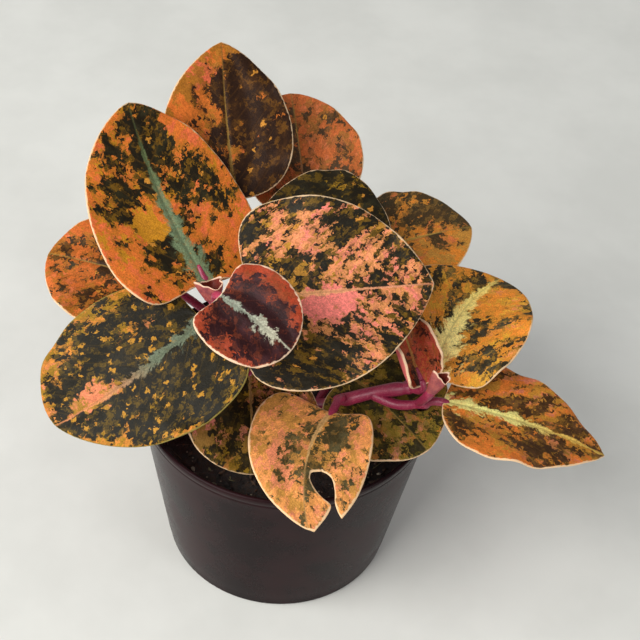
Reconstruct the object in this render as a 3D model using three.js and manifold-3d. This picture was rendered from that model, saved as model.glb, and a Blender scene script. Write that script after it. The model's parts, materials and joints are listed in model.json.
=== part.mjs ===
// A potted peperomia: a tapered plastic pot, its soil, four branching stems and the leaves they carry.
// Millimetres, +Z up. The origin is the middle of the pot's underside, on the surface it stands on.
// The pot's axis is Z, the plant's front faces -Y, and +X is to the right seen from the front.

import * as THREE from "three";
import { mergeVertices } from "three/addons/utils/BufferGeometryUtils.js";
import Module from "manifold-3d";

const wasm = await Module();
wasm.setup();

// ---- Driving dimensions ----------------------------------------------------------------------

const GAP = 0.3; // clearance kept between neighbouring pieces
const ROUND_SIDES = 48; // sides of the pot and the soil

const POT_TOP_RADIUS = 40;
const POT_BASE_RADIUS = 32;
const POT_HEIGHT = 56;
const POT_WALL = 1.2;
const POT_FLOOR = 3; // height of the inner floor above the ground
const FOOT_RING_WIDTH = 5;
const FOOT_DISC_RADIUS = 10; // flat disc in the middle of the underside
const UNDERSIDE_RECESS = 1.5;
const DRAIN_HOLES = 6;
const DRAIN_HOLE_RADIUS = 3;
const DRAIN_HOLE_SIDES = 16;
const DRAIN_CIRCLE_RADIUS = 18.5;
const EDGE_CHAMFER = 0.5;

const SOIL_EDGE_HEIGHT = 47.5;
const SOIL_CROWN_HEIGHT = 49;

const STEM_RADIUS = 1.9;
const STEM_STEPS = 10;
const BRANCH_RADIUS = 1.4;
const BRANCH_STEPS = 6;
const STEM_SIDES = 10;
const PETIOLE_RADIUS = 1.2;
const PETIOLE_SIDES = 6;
const PETIOLE_STEPS = 6;
const PETIOLE_INSET = 1.5; // how far the petiole runs into the blade
const PETIOLE_BOW = 0.35; // share of its span that it runs straight on from the blade

const LEAF_THICKNESS = 1;
const LEAF_END_HALF_WIDTH = 1; // half width left at a blade's base and tip
const LEAF_ROWS = 10;
const LEAF_COLUMNS = 6;
const BLADE_CUT_DEPTH = 24; // long enough to pass through a curved blade

// ---- The plant's layout ----------------------------------------------------------------------

// Each stem is a smooth run of points from inside the soil to its growing tip, with side branches.
const STEMS = {
  stem_left: {
    run: [[-4, -1, 35], [-6, -2, 52], [-9, -4, 66], [-15, -6, 80], [-19, -5, 89]],
    branches: [],
  },
  stem_right: {
    run: [[5, -2, 35], [6, -3, 50], [13, -8, 60], [24, -9, 67], [33, -11, 72]],
    branches: [
      [[22, -9, 66], [29, -12, 66], [37, -15, 71]],
    ],
  },
  stem_back: {
    run: [[-3, 7, 35], [-6, 10, 54], [-10, 16, 72], [-15, 21, 86], [-16, 22, 92]],
    branches: [],
  },
  stem_back_right: {
    run: [[5, 8, 35], [7, 11, 52], [11, 17, 68], [15, 22, 80]],
    branches: [],
  },
};

// A blade runs from its base to its tip. Roll, in degrees, turns it about that line, and the other
// values shape it: rise and taper round its base and point its tip, lobe draws the base back beside
// the petiole, arch humps the midrib, cup lifts the margins, fold (degrees) rolls each half inwards,
// bend bows the midrib sideways and shear slides one half along the other. The petiole starts at the
// base, heads for its lead point and ends at the joint, on the axis of the named stem.
const LEAVES = {
  leaf_upper_left: {
    base: [-22, -4, 95], tip: [-47, 32, 121], width: 41, rise: 0.47, taper: 0.68, lobe: 0.36,
    arch: -0.03, cup: 0.08, bend: -0.03,
    lead: [-20, -3.5, 92], stem: "stem_left", joint: [-18, -5.2, 87],
  },
  leaf_top: {
    base: [-18, 23, 100], tip: [-26, 56, 126], width: 34, rise: 0.55, taper: 0.78, lobe: 0.1,
    arch: 0, bend: -0.01, lead: [-17.5, 23, 96], stem: "stem_back", joint: [-15.7, 21.7, 90],
  },
  leaf_top_back: {
    base: [1, 29, 91], tip: [-7, 60, 109], width: 34, taper: 0.6,
    stem: "stem_back", joint: [-13, 19.2, 81],
  },
  leaf_dark_back: {
    base: [-11, 20, 98], tip: [24, 20, 92], width: 34, roll: -20, rise: 0.65, taper: 0.6,
    lead: [-13.5, 17.5, 94], stem: "stem_back", joint: [-14.6, 20.6, 85],
  },
  leaf_centre: {
    base: [-11, -9, 95.4], tip: [34, -4, 101.9], width: 48, roll: -40, taper: 0.8, lobe: 0.35,
    arch: 0.03, lead: [-14, -9.5, 92], stem: "stem_left", joint: [-14.5, -6, 79],
  },
  leaf_young_red: {
    base: [-17, -20, 106], tip: [1, -31, 101], width: 24, roll: -25, rise: 0.45, taper: 0.5,
    lobe: 0.4, bend: -0.02, lead: [-21, -14, 104], stem: "stem_left", joint: [-16, -5.9, 82],
  },
  leaf_left_back: {
    base: [-34, 5, 84], tip: [-66, 14, 83], width: 34, roll: 20, lobe: 0.2,
    stem: "stem_left", joint: [-11.5, -5, 71.5],
  },
  leaf_lower_left: {
    base: [-22, -10, 88], tip: [-57, -27, 62], width: 42, roll: 26, rise: 0.43, taper: 0.6,
    lobe: 0.3, shear: 0.3, bend: -0.05,
    lead: [-18.5, -9, 85.5], stem: "stem_left", joint: [-13, -5.6, 75.5],
  },
  leaf_lower_inner: {
    base: [-10, -8, 69], tip: [-7, -31, 55], width: 36, roll: 12, taper: 0.55, lobe: 0.2,
    stem: "stem_left", joint: [-7, -2.8, 58],
  },
  leaf_front_notched: {
    base: [12, -17, 66], tip: [9, -52, 62], width: 31, rise: 0.45, taper: 0.6, lobe: 0.4,
    shear: -0.15, bend: 0.1, lead: [14, -11, 67], stem: "stem_right", joint: [15, -8.3, 61.6],
    notch: [[-0.6, 18.8], [1.7, 20], [1.8, 21.8], [0.4, 23.9], [-1.9, 25.8], [-4.4, 27.6], [-4.1, 30],
      [-2.2, 34.1], [-0.5, 38], [-14, 38], [-9.5, 31.5], [-6.9, 29.6], [-5.4, 27.2], [-4.7, 23.6],
      [-3.4, 20.3], [-2, 19.2]],
  },
  leaf_lower_right: {
    base: [16, 1, 62], tip: [38, -20, 58], width: 35, roll: -10, rise: 0.62, lobe: 0.2,
    stem: "stem_right", joint: [8, -4.6, 54],
    hole: { across: -8, along: 20.5, radius: 1.8 },
  },
  leaf_young_folded: {
    base: [34.5, -14.5, 76.5], tip: [26.5, -5, 91], width: 19, roll: 5, fold: 105, arch: -0.04, cup: 0,
    stem: "stem_right", joint: [32, -10.9, 71.5],
  },
  leaf_right_upper: {
    base: [37, -10, 76], tip: [54, 20, 84], width: 38, rise: 0.45, taper: 0.5, lobe: 0.2,
    arch: 0.08, bend: -0.07, lead: [36, -7, 74], stem: "stem_right", joint: [29, -10, 69.6],
  },
  leaf_right_back: {
    base: [17, 28, 81], tip: [46, 38, 86], width: 31, roll: -15, taper: 0.7, lobe: 0.1,
    stem: "stem_back_right", joint: [14.3, 21, 78],
  },
  leaf_right_tip: {
    base: [40, -16, 73], tip: [82, -23, 66], width: 29, roll: -5, rise: 0.55, taper: 0.9,
    lobe: 0.1, stem: "stem_right", joint: [36, -14.6, 70.4],
  },
  leaf_back_low: {
    base: [8, 26, 70], tip: [12, 62, 62], width: 32, lobe: 0.2,
    stem: "stem_back_right", joint: [9.6, 15, 63],
  },
  leaf_back_left_low: {
    base: [-16, 24, 74], tip: [-42, 46, 66], width: 30, lobe: 0.2,
    stem: "stem_back", joint: [-9, 14.6, 68],
  },
};
const PLAIN_LEAF = {
  roll: 0, rise: 0.5, taper: 0.62, lobe: 0, arch: 0.05, cup: 0.12, fold: 0, bend: 0, shear: 0,
};

// Leaves at the growing tips that are still rolled into a small cup, each on a stalk from its stem.
const BUDS = {
  bud_left: {
    foot: [-21, -9.2, 94.2], top: [-22.5, -7.8, 98.6], mouth: 2.5,
    stem: "stem_left", joint: [-17.5, -5.4, 86],
  },
  bud_right: {
    foot: [35.9, -19.7, 79.2], top: [37.7, -18.9, 84], mouth: 2.2,
    stem: "stem_right", joint: [33.8, -13.8, 69],
  },
};
const BUD_FOOT_RADIUS = 0.9;
const BUD_SIDES = 12;

const COLOURS = {
  pot: 0x2f2324,
  soil: 0x1c1512,
  stem: 0x9c2c50,
  leaf: 0xb9662f,
  darkLeaf: 0x2f2a20,
  youngLeaf: 0xa8382e,
};
const DARK_LEAVES = ["leaf_dark_back", "leaf_lower_left", "leaf_lower_inner"];
const YOUNG_LEAVES = ["leaf_young_red", "leaf_young_folded"];

// ---- Solids ----------------------------------------------------------------------------------

// A closed mesh as a solid that can be joined and cut.
function toSolid(geometry) {
  geometry.deleteAttribute("normal");
  geometry.deleteAttribute("uv");
  const merged = mergeVertices(geometry, 1e-4);
  const vertProperties = new Float32Array(merged.attributes.position.array);
  const triVerts = new Uint32Array(merged.index.array);
  return new wasm.Manifold(new wasm.Mesh({ numProp: 3, vertProperties, triVerts }));
}

function toGeometry(solid) {
  const mesh = solid.getMesh();
  const geometry = new THREE.BufferGeometry();
  geometry.setAttribute("position", new THREE.BufferAttribute(mesh.vertProperties, 3));
  geometry.setIndex(new THREE.BufferAttribute(mesh.triVerts, 1));
  geometry.computeVertexNormals();
  return geometry;
}

// A round tube along a curve, with flat ends.
function tube(curve, radius, sides, steps) {
  const section = new THREE.Shape();
  section.absarc(0, 0, radius, 0, 2 * Math.PI, false);
  const outline = new THREE.Shape(section.getSpacedPoints(sides).slice(0, sides));
  return toSolid(new THREE.ExtrudeGeometry(outline, { steps, extrudePath: curve, bevelEnabled: false }));
}

function lathe(profile) {
  const points = profile.map(([radius, height]) => new THREE.Vector2(radius, height));
  const geometry = new THREE.LatheGeometry(points, ROUND_SIDES);
  geometry.rotateX(Math.PI / 2);
  return toSolid(geometry);
}

function toVectors(points) {
  return points.map((point) => new THREE.Vector3(...point));
}

// ---- Pot and soil ----------------------------------------------------------------------------

function outerRadius(height) {
  return POT_BASE_RADIUS + ((POT_TOP_RADIUS - POT_BASE_RADIUS) * height) / POT_HEIGHT;
}

// The profile runs along the underside, up the outside, over the lip and down the inside.
function buildPot() {
  const lipFoot = POT_HEIGHT - EDGE_CHAMFER;
  let pot = lathe([
    [0, 0],
    [FOOT_DISC_RADIUS, 0],
    [FOOT_DISC_RADIUS + EDGE_CHAMFER, UNDERSIDE_RECESS],
    [POT_BASE_RADIUS - FOOT_RING_WIDTH - EDGE_CHAMFER, UNDERSIDE_RECESS],
    [POT_BASE_RADIUS - FOOT_RING_WIDTH, 0],
    [POT_BASE_RADIUS - EDGE_CHAMFER, 0],
    [outerRadius(EDGE_CHAMFER), EDGE_CHAMFER],
    [outerRadius(lipFoot), lipFoot],
    [POT_TOP_RADIUS - EDGE_CHAMFER, POT_HEIGHT],
    [POT_TOP_RADIUS - 2 * EDGE_CHAMFER, POT_HEIGHT],
    [outerRadius(lipFoot) - POT_WALL, lipFoot],
    [outerRadius(POT_FLOOR) - POT_WALL, POT_FLOOR],
    [0, POT_FLOOR],
  ]);
  for (let hole = 0; hole < DRAIN_HOLES; hole += 1) {
    const angle = (2 * Math.PI * hole) / DRAIN_HOLES;
    const drill = new THREE.CylinderGeometry(
      DRAIN_HOLE_RADIUS, DRAIN_HOLE_RADIUS, 3 * POT_FLOOR, DRAIN_HOLE_SIDES,
    );
    drill.rotateX(Math.PI / 2);
    drill.translate(DRAIN_CIRCLE_RADIUS * Math.cos(angle), DRAIN_CIRCLE_RADIUS * Math.sin(angle), 0);
    pot = pot.subtract(toSolid(drill));
  }
  return pot;
}

function buildSoil(sockets) {
  const bottom = POT_FLOOR + GAP;
  const clear = POT_WALL + GAP;
  const body = lathe([
    [0, bottom],
    [outerRadius(bottom) - clear, bottom],
    [outerRadius(SOIL_EDGE_HEIGHT) - clear, SOIL_EDGE_HEIGHT],
    [0.7 * POT_TOP_RADIUS, SOIL_EDGE_HEIGHT + 0.6],
    [0.35 * POT_TOP_RADIUS, SOIL_CROWN_HEIGHT - 0.4],
    [0, SOIL_CROWN_HEIGHT],
  ]);
  return sockets.reduce((soil, socket) => soil.subtract(socket), body);
}

// ---- Stems -----------------------------------------------------------------------------------

// The main run and its branches as one solid, swollen by an extra radius when it is used to cut.
function buildStem({ run, branches }, extra) {
  let stem = tube(stemCurve(run, extra), STEM_RADIUS + extra, STEM_SIDES, STEM_STEPS);
  for (const branch of branches) {
    stem = stem.add(tube(stemCurve(branch, extra), BRANCH_RADIUS + extra, STEM_SIDES, BRANCH_STEPS));
  }
  return stem;
}

// A smooth curve through the points, with both ends drawn out by an extra length.
function stemCurve(run, extra) {
  const points = toVectors(run);
  const lengthen = (end, next) => end.addScaledVector(end.clone().sub(next).normalize(), 2 * extra);
  lengthen(points[0], points[1]);
  lengthen(points.at(-1), points.at(-2));
  return new THREE.CatmullRomCurve3(points);
}

// ---- Leaves ----------------------------------------------------------------------------------

// The blade's own directions: along its midrib, across it to the right, and out of its upper face.
function leafFrame({ base, tip, roll }) {
  const origin = new THREE.Vector3(...base);
  const along = new THREE.Vector3(...tip).sub(origin);
  const length = along.length();
  along.normalize();
  const up = new THREE.Vector3(0, 0, 1);
  const across = new THREE.Vector3().crossVectors(along, up).normalize();
  across.applyAxisAngle(along, -THREE.MathUtils.degToRad(roll));
  const out = new THREE.Vector3().crossVectors(across, along);
  const matrix = new THREE.Matrix4().makeBasis(across, along, out).setPosition(origin);
  return { origin, along, length, matrix };
}

// Where a flat reach across the blade comes to lie when each half is rolled into an arc.
function rolledUp(reach, half, fold) {
  if (fold === 0) {
    return [reach, 0];
  }
  const radius = half / fold;
  return [radius * Math.sin(reach / radius), radius * (1 - Math.cos(reach / radius))];
}

// A point of the blade's middle surface: s runs from base to tip, t from the left to the right margin.
function bladePoint(leaf, frame, s, t) {
  const half = leaf.width / 2;
  const peakAt = leaf.rise / (leaf.rise + leaf.taper);
  const peak = peakAt ** leaf.rise * (1 - peakAt) ** leaf.taper;
  const outline = (half * s ** leaf.rise * (1 - s) ** leaf.taper) / peak;
  const reach = t * Math.max(outline, LEAF_END_HALF_WIDTH);
  const spread = Math.abs(reach) / half;
  const hump = 4 * s * (1 - s);
  const [across, lift] = rolledUp(reach, half, THREE.MathUtils.degToRad(leaf.fold));
  return new THREE.Vector3(
    across + leaf.bend * frame.length * hump,
    frame.length * (s - leaf.lobe * spread ** 2 * (1 - s) ** 3) + leaf.shear * reach,
    lift + leaf.arch * frame.length * hump + leaf.cup * half * spread ** 2,
  ).applyMatrix4(frame.matrix);
}

// The blade's outward normal, from the middle surface on both sides of the point.
function bladeNormal(leaf, frame, s, t) {
  const step = 0.02;
  const s0 = Math.max(s - step, 0);
  const s1 = Math.min(s + step, 1);
  const alongS = bladePoint(leaf, frame, s1, t).sub(bladePoint(leaf, frame, s0, t));
  const alongT = bladePoint(leaf, frame, s, t + step).sub(bladePoint(leaf, frame, s, t - step));
  return alongT.cross(alongS).normalize();
}

// A grid over the blade, once on its upper face and once on its lower, closed around the rim.
function buildBlade(leaf, frame) {
  const across = LEAF_COLUMNS + 1;
  const layer = (LEAF_ROWS + 1) * across;
  const positions = [];
  for (const side of [0.5, -0.5]) {
    for (let row = 0; row <= LEAF_ROWS; row += 1) {
      const s = (1 - Math.cos((Math.PI * row) / LEAF_ROWS)) / 2;
      for (let column = 0; column <= LEAF_COLUMNS; column += 1) {
        const t = (2 * column) / LEAF_COLUMNS - 1;
        const normal = bladeNormal(leaf, frame, s, t);
        const point = bladePoint(leaf, frame, s, t).addScaledVector(normal, side * LEAF_THICKNESS);
        positions.push(...point);
      }
    }
  }
  const index = [];
  const quad = (a, b, c, d) => index.push(a, b, c, a, c, d);
  for (let row = 0; row < LEAF_ROWS; row += 1) {
    for (let column = 0; column < LEAF_COLUMNS; column += 1) {
      const a = row * across + column;
      quad(a, a + 1, a + 1 + across, a + across);
      quad(layer + a, layer + a + across, layer + a + 1 + across, layer + a + 1);
    }
    const left = row * across;
    const right = left + LEAF_COLUMNS;
    quad(left, left + across, layer + left + across, layer + left);
    quad(right, layer + right, layer + right + across, right + across);
  }
  const last = LEAF_ROWS * across;
  for (let column = 0; column < LEAF_COLUMNS; column += 1) {
    quad(column, layer + column, layer + column + 1, column + 1);
    quad(last + column, last + column + 1, layer + last + column + 1, layer + last + column);
  }
  const geometry = new THREE.BufferGeometry();
  geometry.setAttribute("position", new THREE.Float32BufferAttribute(positions, 3));
  geometry.setIndex(index);
  return toSolid(geometry);
}

// The petiole leaves the blade along its midrib and bows over to the stem.
function buildPetiole(leaf, frame) {
  const joint = new THREE.Vector3(...leaf.joint);
  const start = frame.origin.clone().addScaledVector(frame.along, PETIOLE_INSET);
  const span = start.distanceTo(joint);
  const lead = leaf.lead
    ? new THREE.Vector3(...leaf.lead)
    : frame.origin.clone().addScaledVector(frame.along, -PETIOLE_BOW * span);
  const heel = joint.clone().lerp(lead, PETIOLE_BOW);
  const curve = new THREE.CubicBezierCurve3(start, lead, heel, joint);
  return tube(curve, PETIOLE_RADIUS, PETIOLE_SIDES, PETIOLE_STEPS);
}

// A cutter through the blade: an outline in its own plane, drawn out along its normal.
function bladeCutter(shape, frame) {
  const depth = BLADE_CUT_DEPTH;
  const geometry = new THREE.ExtrudeGeometry(shape, { depth, bevelEnabled: false, curveSegments: 5 });
  geometry.translate(0, 0, -depth / 2);
  geometry.applyMatrix4(frame.matrix);
  return toSolid(geometry);
}

function buildLeaf(leaf, stemCutters) {
  const frame = leafFrame(leaf);
  let solid = buildBlade(leaf, frame).add(buildPetiole(leaf, frame));
  if (leaf.notch) {
    const corners = leaf.notch.map(([across, along]) => new THREE.Vector2(across, along));
    solid = solid.subtract(bladeCutter(new THREE.Shape(corners), frame));
  }
  if (leaf.hole) {
    const circle = new THREE.Shape();
    circle.absarc(leaf.hole.across, leaf.hole.along, leaf.hole.radius, 0, 2 * Math.PI, false);
    solid = solid.subtract(bladeCutter(circle, frame));
  }
  return solid.subtract(stemCutters[leaf.stem]);
}

// A cup that flares from its foot to its mouth, and its stalk.
function buildBud(bud, stemCutters) {
  const foot = new THREE.Vector3(...bud.foot);
  const lean = new THREE.Vector3(...bud.top).sub(foot);
  const cup = new THREE.CylinderGeometry(bud.mouth, BUD_FOOT_RADIUS, lean.length(), BUD_SIDES);
  cup.translate(0, lean.length() / 2, 0);
  const upright = new THREE.Vector3(0, 1, 0);
  const turn = new THREE.Quaternion().setFromUnitVectors(upright, lean.normalize());
  cup.applyQuaternion(turn);
  cup.translate(foot.x, foot.y, foot.z);
  const start = foot.clone().addScaledVector(lean, PETIOLE_INSET);
  const stalk = new THREE.LineCurve3(start, new THREE.Vector3(...bud.joint));
  const solid = toSolid(cup).add(tube(stalk, BUD_FOOT_RADIUS, PETIOLE_SIDES, 1));
  return solid.subtract(stemCutters[bud.stem]);
}

// ---- Assembly --------------------------------------------------------------------------------

const plant = new THREE.Group();

function addPiece(name, solid, color, roughness) {
  const material = new THREE.MeshStandardMaterial({ color, roughness, metalness: 0 });
  const mesh = new THREE.Mesh(toGeometry(solid), material);
  mesh.name = name;
  plant.add(mesh);
}

function leafColour(name) {
  if (DARK_LEAVES.includes(name)) {
    return COLOURS.darkLeaf;
  }
  return YOUNG_LEAVES.includes(name) ? COLOURS.youngLeaf : COLOURS.leaf;
}

const stemCutters = {};
for (const [name, stem] of Object.entries(STEMS)) {
  stemCutters[name] = buildStem(stem, GAP);
}

addPiece("pot", buildPot(), COLOURS.pot, 0.35);
addPiece("soil", buildSoil(Object.values(stemCutters)), COLOURS.soil, 0.95);
for (const [name, stem] of Object.entries(STEMS)) {
  addPiece(name, buildStem(stem, 0), COLOURS.stem, 0.4);
}
for (const [name, values] of Object.entries(LEAVES)) {
  const leaf = { ...PLAIN_LEAF, ...values };
  addPiece(name, buildLeaf(leaf, stemCutters), leafColour(name), 0.4);
}
for (const [name, bud] of Object.entries(BUDS)) {
  addPiece(name, buildBud(bud, stemCutters), COLOURS.youngLeaf, 0.5);
}

export default plant;
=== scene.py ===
"""A potted peperomia: fine surfaces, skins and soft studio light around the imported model.

Places on the plant are in millimetres in the model's own frame, with +Z up, the origin under the
middle of the pot and the plant's front towards -Y. MM turns them into metres in the meshes.
"""

import json

import bmesh
import bpy
import numpy as np
from mathutils import Matrix, Vector

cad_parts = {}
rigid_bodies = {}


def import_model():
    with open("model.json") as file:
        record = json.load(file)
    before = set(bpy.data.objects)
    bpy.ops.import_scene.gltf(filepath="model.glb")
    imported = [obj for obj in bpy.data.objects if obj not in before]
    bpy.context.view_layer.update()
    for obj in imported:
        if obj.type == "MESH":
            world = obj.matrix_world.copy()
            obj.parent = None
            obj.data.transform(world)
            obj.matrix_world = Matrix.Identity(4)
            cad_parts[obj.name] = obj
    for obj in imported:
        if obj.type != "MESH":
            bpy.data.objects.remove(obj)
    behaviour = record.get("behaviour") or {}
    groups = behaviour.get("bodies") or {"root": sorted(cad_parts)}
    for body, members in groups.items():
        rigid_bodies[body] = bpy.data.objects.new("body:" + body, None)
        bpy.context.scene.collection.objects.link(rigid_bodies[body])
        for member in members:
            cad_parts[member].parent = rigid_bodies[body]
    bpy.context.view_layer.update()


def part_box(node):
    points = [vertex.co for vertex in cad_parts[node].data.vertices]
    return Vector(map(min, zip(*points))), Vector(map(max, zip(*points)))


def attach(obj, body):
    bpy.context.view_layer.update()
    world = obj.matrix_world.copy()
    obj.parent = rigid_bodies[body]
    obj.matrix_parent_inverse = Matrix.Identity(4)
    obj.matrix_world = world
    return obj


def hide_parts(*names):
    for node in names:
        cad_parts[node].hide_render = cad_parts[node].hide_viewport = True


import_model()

MM = 0.001

# ---- The pot and the soil ----------------------------------------------------------------------

POT_HIGH = np.array(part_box("pot")[1]) / MM
POT_TOP_RADIUS = POT_HIGH[0]
POT_HEIGHT = POT_HIGH[2]
POT_BASE_RADIUS = 0.8 * POT_TOP_RADIUS
POT_WALL = 1.2
POT_FLOOR = 3.0
FOOT_RING_WIDTH = 5.0
FOOT_DISC_RADIUS = 10.0
UNDERSIDE_RECESS = 1.5
DRAIN_HOLES = 6
DRAIN_HOLE_RADIUS = 3.0
DRAIN_CIRCLE_RADIUS = 18.5
POT_ROUNDINGS = (0.3, 0.4, 1.0)
POT_SIDES = 168

SOIL_LOW, SOIL_HIGH = (np.array(corner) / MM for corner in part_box("soil"))
SOIL_EDGE_HEIGHT = SOIL_HIGH[2] - 1.5
SOIL_SIDES = 150
CHIP_COUNT = 520

# ---- The plant's layout ------------------------------------------------------------------------

# Each stem is a smooth run of points from inside the soil to its growing tip, with side branches.
STEMS = {
    "stem_left": [[(-4, -1, 35), (-6, -2, 52), (-9, -4, 66), (-15, -6, 80), (-19, -5, 89)]],
    "stem_right": [
        [(5, -2, 35), (6, -3, 50), (13, -8, 60), (24, -9, 67), (33, -11, 72)],
        [(22, -9, 66), (29, -12, 66), (37, -15, 71)],
    ],
    "stem_back": [[(-3, 7, 35), (-6, 10, 54), (-10, 16, 72), (-15, 21, 86), (-16, 22, 92)]],
    "stem_back_right": [[(5, 8, 35), (7, 11, 52), (11, 17, 68), (15, 22, 80)]],
}
STEM_RADIUS = 1.9
BRANCH_RADIUS = 1.4
NODE_SWELL = 0.45
STEM_SIDES = 28
PETIOLE_RADIUS = 1.1
PETIOLE_SWELL = 0.35
PETIOLE_BOW = 0.35
PETIOLE_SIDES = 20

# A blade runs from its base to its tip. Roll, in degrees, turns it about that line. Rise and taper
# round its base and point its tip, lobe draws the base back beside the petiole, arch humps the
# midrib, cup lifts the margins, fold, in degrees, rolls each half inwards, bend bows the midrib
# sideways and shear slides one half along the other. Ripple, in millimetres, waves the margin. The
# petiole runs from the base by its lead point to the joint on its stem. A notch is the two sides of
# a tear, and a hole is a place across and along the blade with a radius, all in millimetres.
PLAIN_LEAF = dict(
    roll=0, rise=0.5, taper=0.62, lobe=0, arch=0.05, cup=0.12, fold=0, bend=0, shear=0,
    ripple=0.5, slot="leaf", lead=None, notch=None, hole=None,
)
LEAVES = {
    "leaf_upper_left": dict(
        base=(-22, -4, 95), tip=(-47, 32, 121), width=41, rise=0.47, taper=0.68, lobe=0.36,
        arch=-0.03, cup=0.08, bend=-0.03, lead=(-20, -3.5, 92), joint=(-18, -5.2, 87),
    ),
    "leaf_top": dict(
        base=(-18, 23, 100), tip=(-26, 56, 126), width=34, rise=0.55, taper=0.78, lobe=0.1,
        arch=0, bend=-0.01, lead=(-17.5, 23, 96), joint=(-15.7, 21.7, 90),
    ),
    "leaf_top_back": dict(
        base=(1, 29, 91), tip=(-7, 60, 109), width=34, taper=0.6, joint=(-13, 19.2, 81),
    ),
    "leaf_dark_back": dict(
        base=(-11, 20, 98), tip=(24, 20, 92), width=34, roll=-20, rise=0.65, taper=0.6,
        lead=(-13.5, 17.5, 94), joint=(-14.6, 20.6, 85), slot="dark_leaf",
    ),
    "leaf_centre": dict(
        base=(-11, -9, 95.4), tip=(34, -4, 101.9), width=48, roll=-40, taper=0.8, lobe=0.35,
        arch=0.03, ripple=0.7, lead=(-14, -9.5, 92), joint=(-14.5, -6, 79),
    ),
    "leaf_young_red": dict(
        base=(-17, -20, 106), tip=(1, -31, 101), width=24, roll=-25, rise=0.43, taper=0.5,
        lobe=0.45, bend=-0.02, ripple=0.35, lead=(-21, -14, 104), joint=(-16, -5.9, 82),
        slot="young_leaf",
    ),
    "leaf_left_back": dict(
        base=(-34, 5, 84), tip=(-66, 14, 83), width=34, roll=20, lobe=0.2, joint=(-11.5, -5, 71.5),
    ),
    "leaf_lower_left": dict(
        base=(-22, -10, 88), tip=(-57, -27, 62), width=42, roll=26, rise=0.43, taper=0.6,
        lobe=0.3, shear=0.3, bend=-0.05, ripple=0.6, lead=(-18.5, -9, 85.5),
        joint=(-13, -5.6, 75.5), slot="dark_leaf",
    ),
    "leaf_lower_inner": dict(
        base=(-10, -8, 69), tip=(-7, -31, 55), width=36, roll=12, taper=0.55, lobe=0.2,
        joint=(-7, -2.8, 58), slot="dark_leaf",
    ),
    "leaf_front_notched": dict(
        base=(12, -17, 66), tip=(9, -52, 62), width=31, rise=0.45, taper=0.6, lobe=0.4,
        shear=-0.15, bend=0.1, ripple=0.35, lead=(14, -11, 67), joint=(15, -8.3, 61.6),
        notch=dict(
            left=[(-0.6, 18.8), (-2, 19.2), (-3.4, 20.3), (-4.7, 23.6), (-5.4, 27.2), (-6.9, 29.6),
                  (-9.5, 31.5), (-14, 34)],
            right=[(-0.6, 18.8), (1.7, 20), (1.8, 21.8), (0.4, 23.9), (-1.9, 25.8), (-4.4, 27.6),
                   (-4.1, 30), (-2.2, 34.1), (-0.3, 38)],
        ),
    ),
    "leaf_lower_right": dict(
        base=(16, 1, 62), tip=(38, -20, 58), width=35, roll=-10, rise=0.62, lobe=0.2,
        joint=(8, -4.6, 54), hole=dict(across=-8, along=20.5, radius=1.8),
    ),
    "leaf_young_folded": dict(
        base=(34.5, -14.5, 76.5), tip=(26.5, -5, 91), width=19, roll=5, fold=105, arch=-0.04, cup=0,
        ripple=0.3, joint=(32, -10.9, 71.5), slot="young_leaf",
    ),
    "leaf_right_upper": dict(
        base=(37, -10, 76), tip=(54, 20, 84), width=38, rise=0.45, taper=0.5, lobe=0.2,
        arch=0.08, bend=-0.07, ripple=0.7, lead=(36, -7, 74), joint=(29, -10, 69.6),
    ),
    "leaf_right_back": dict(
        base=(17, 28, 81), tip=(46, 38, 86), width=31, roll=-15, taper=0.7, lobe=0.1,
        joint=(14.3, 21, 78),
    ),
    "leaf_right_tip": dict(
        base=(40, -16, 73), tip=(82, -23, 66), width=29, roll=-5, rise=0.55, taper=0.9,
        lobe=0.1, ripple=0.7, joint=(36, -14.6, 70.4),
    ),
    "leaf_back_low": dict(
        base=(8, 26, 70), tip=(12, 62, 62), width=32, lobe=0.2, joint=(9.6, 15, 63),
    ),
    "leaf_back_left_low": dict(
        base=(-16, 24, 74), tip=(-42, 46, 66), width=30, lobe=0.2, joint=(-9, 14.6, 68),
    ),
}
# A bud is a cup between its foot and its top on a stalk from its joint, with its mouth's radius.
BUDS = {
    "bud_left": dict(
        foot=(-19.7, -9.6, 94.2), top=(-20.4, -8.6, 98.2), mouth=3.3, joint=(-17.5, -5.4, 86),
    ),
    "bud_right": dict(
        foot=(35.9, -19.7, 79.2), top=(37.7, -18.9, 84), mouth=2.3, joint=(33.8, -13.8, 69),
    ),
}

BUD_SIDES = 72
BUD_WALL = 0.28
BUD_STALK_RADIUS = 1.3

# How each leaf is coloured. Amounts run from 0 to 1. The dark_to values add darkness towards the
# margin, the tip and the right margin. Blotch is the size of a patch in millimetres, stretch draws
# patches out along the side veins, and slope is how steeply these run forward. Rib is the midrib's
# feathered streak, rib_width its half width, rib_end the share of the blade where it stops and
# rib_edge how ragged it is. Specks is the share of the dark patches' cells with a bright speck.
# A spot is a layer, a place (s along, t across), its half length and half width in millimetres, and
# how much the layer grows or, below zero, shrinks there. The rib layer widens by millimetres.
# Sheen is painted reflection: a lighter colour the dark patches turn to in soft clouds.
PLAIN_PAINT = dict(
    ground="#c4642a", blush="#c86840", blush_amount=0.35, gold="#94691c", gold_amount=0.4,
    dark="#2b2012", sheen="#3a3322", dark_amount=0.48, dark_to_margin=-0.15, dark_to_tip=0.0,
    dark_to_right=0.0, blotch=3.4, stretch=1.2, slope=1.0, rib="#8a8a4c", rib_tip="#b09048",
    rib_width=1.0, rib_end=0.8, rib_edge=0.5, specks=0.06, speck="#bf8030",
    margin="#d9b890", margin_width=0.26, under="#a8505c", under_vein="#c87a76", spots=(),
)
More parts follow.
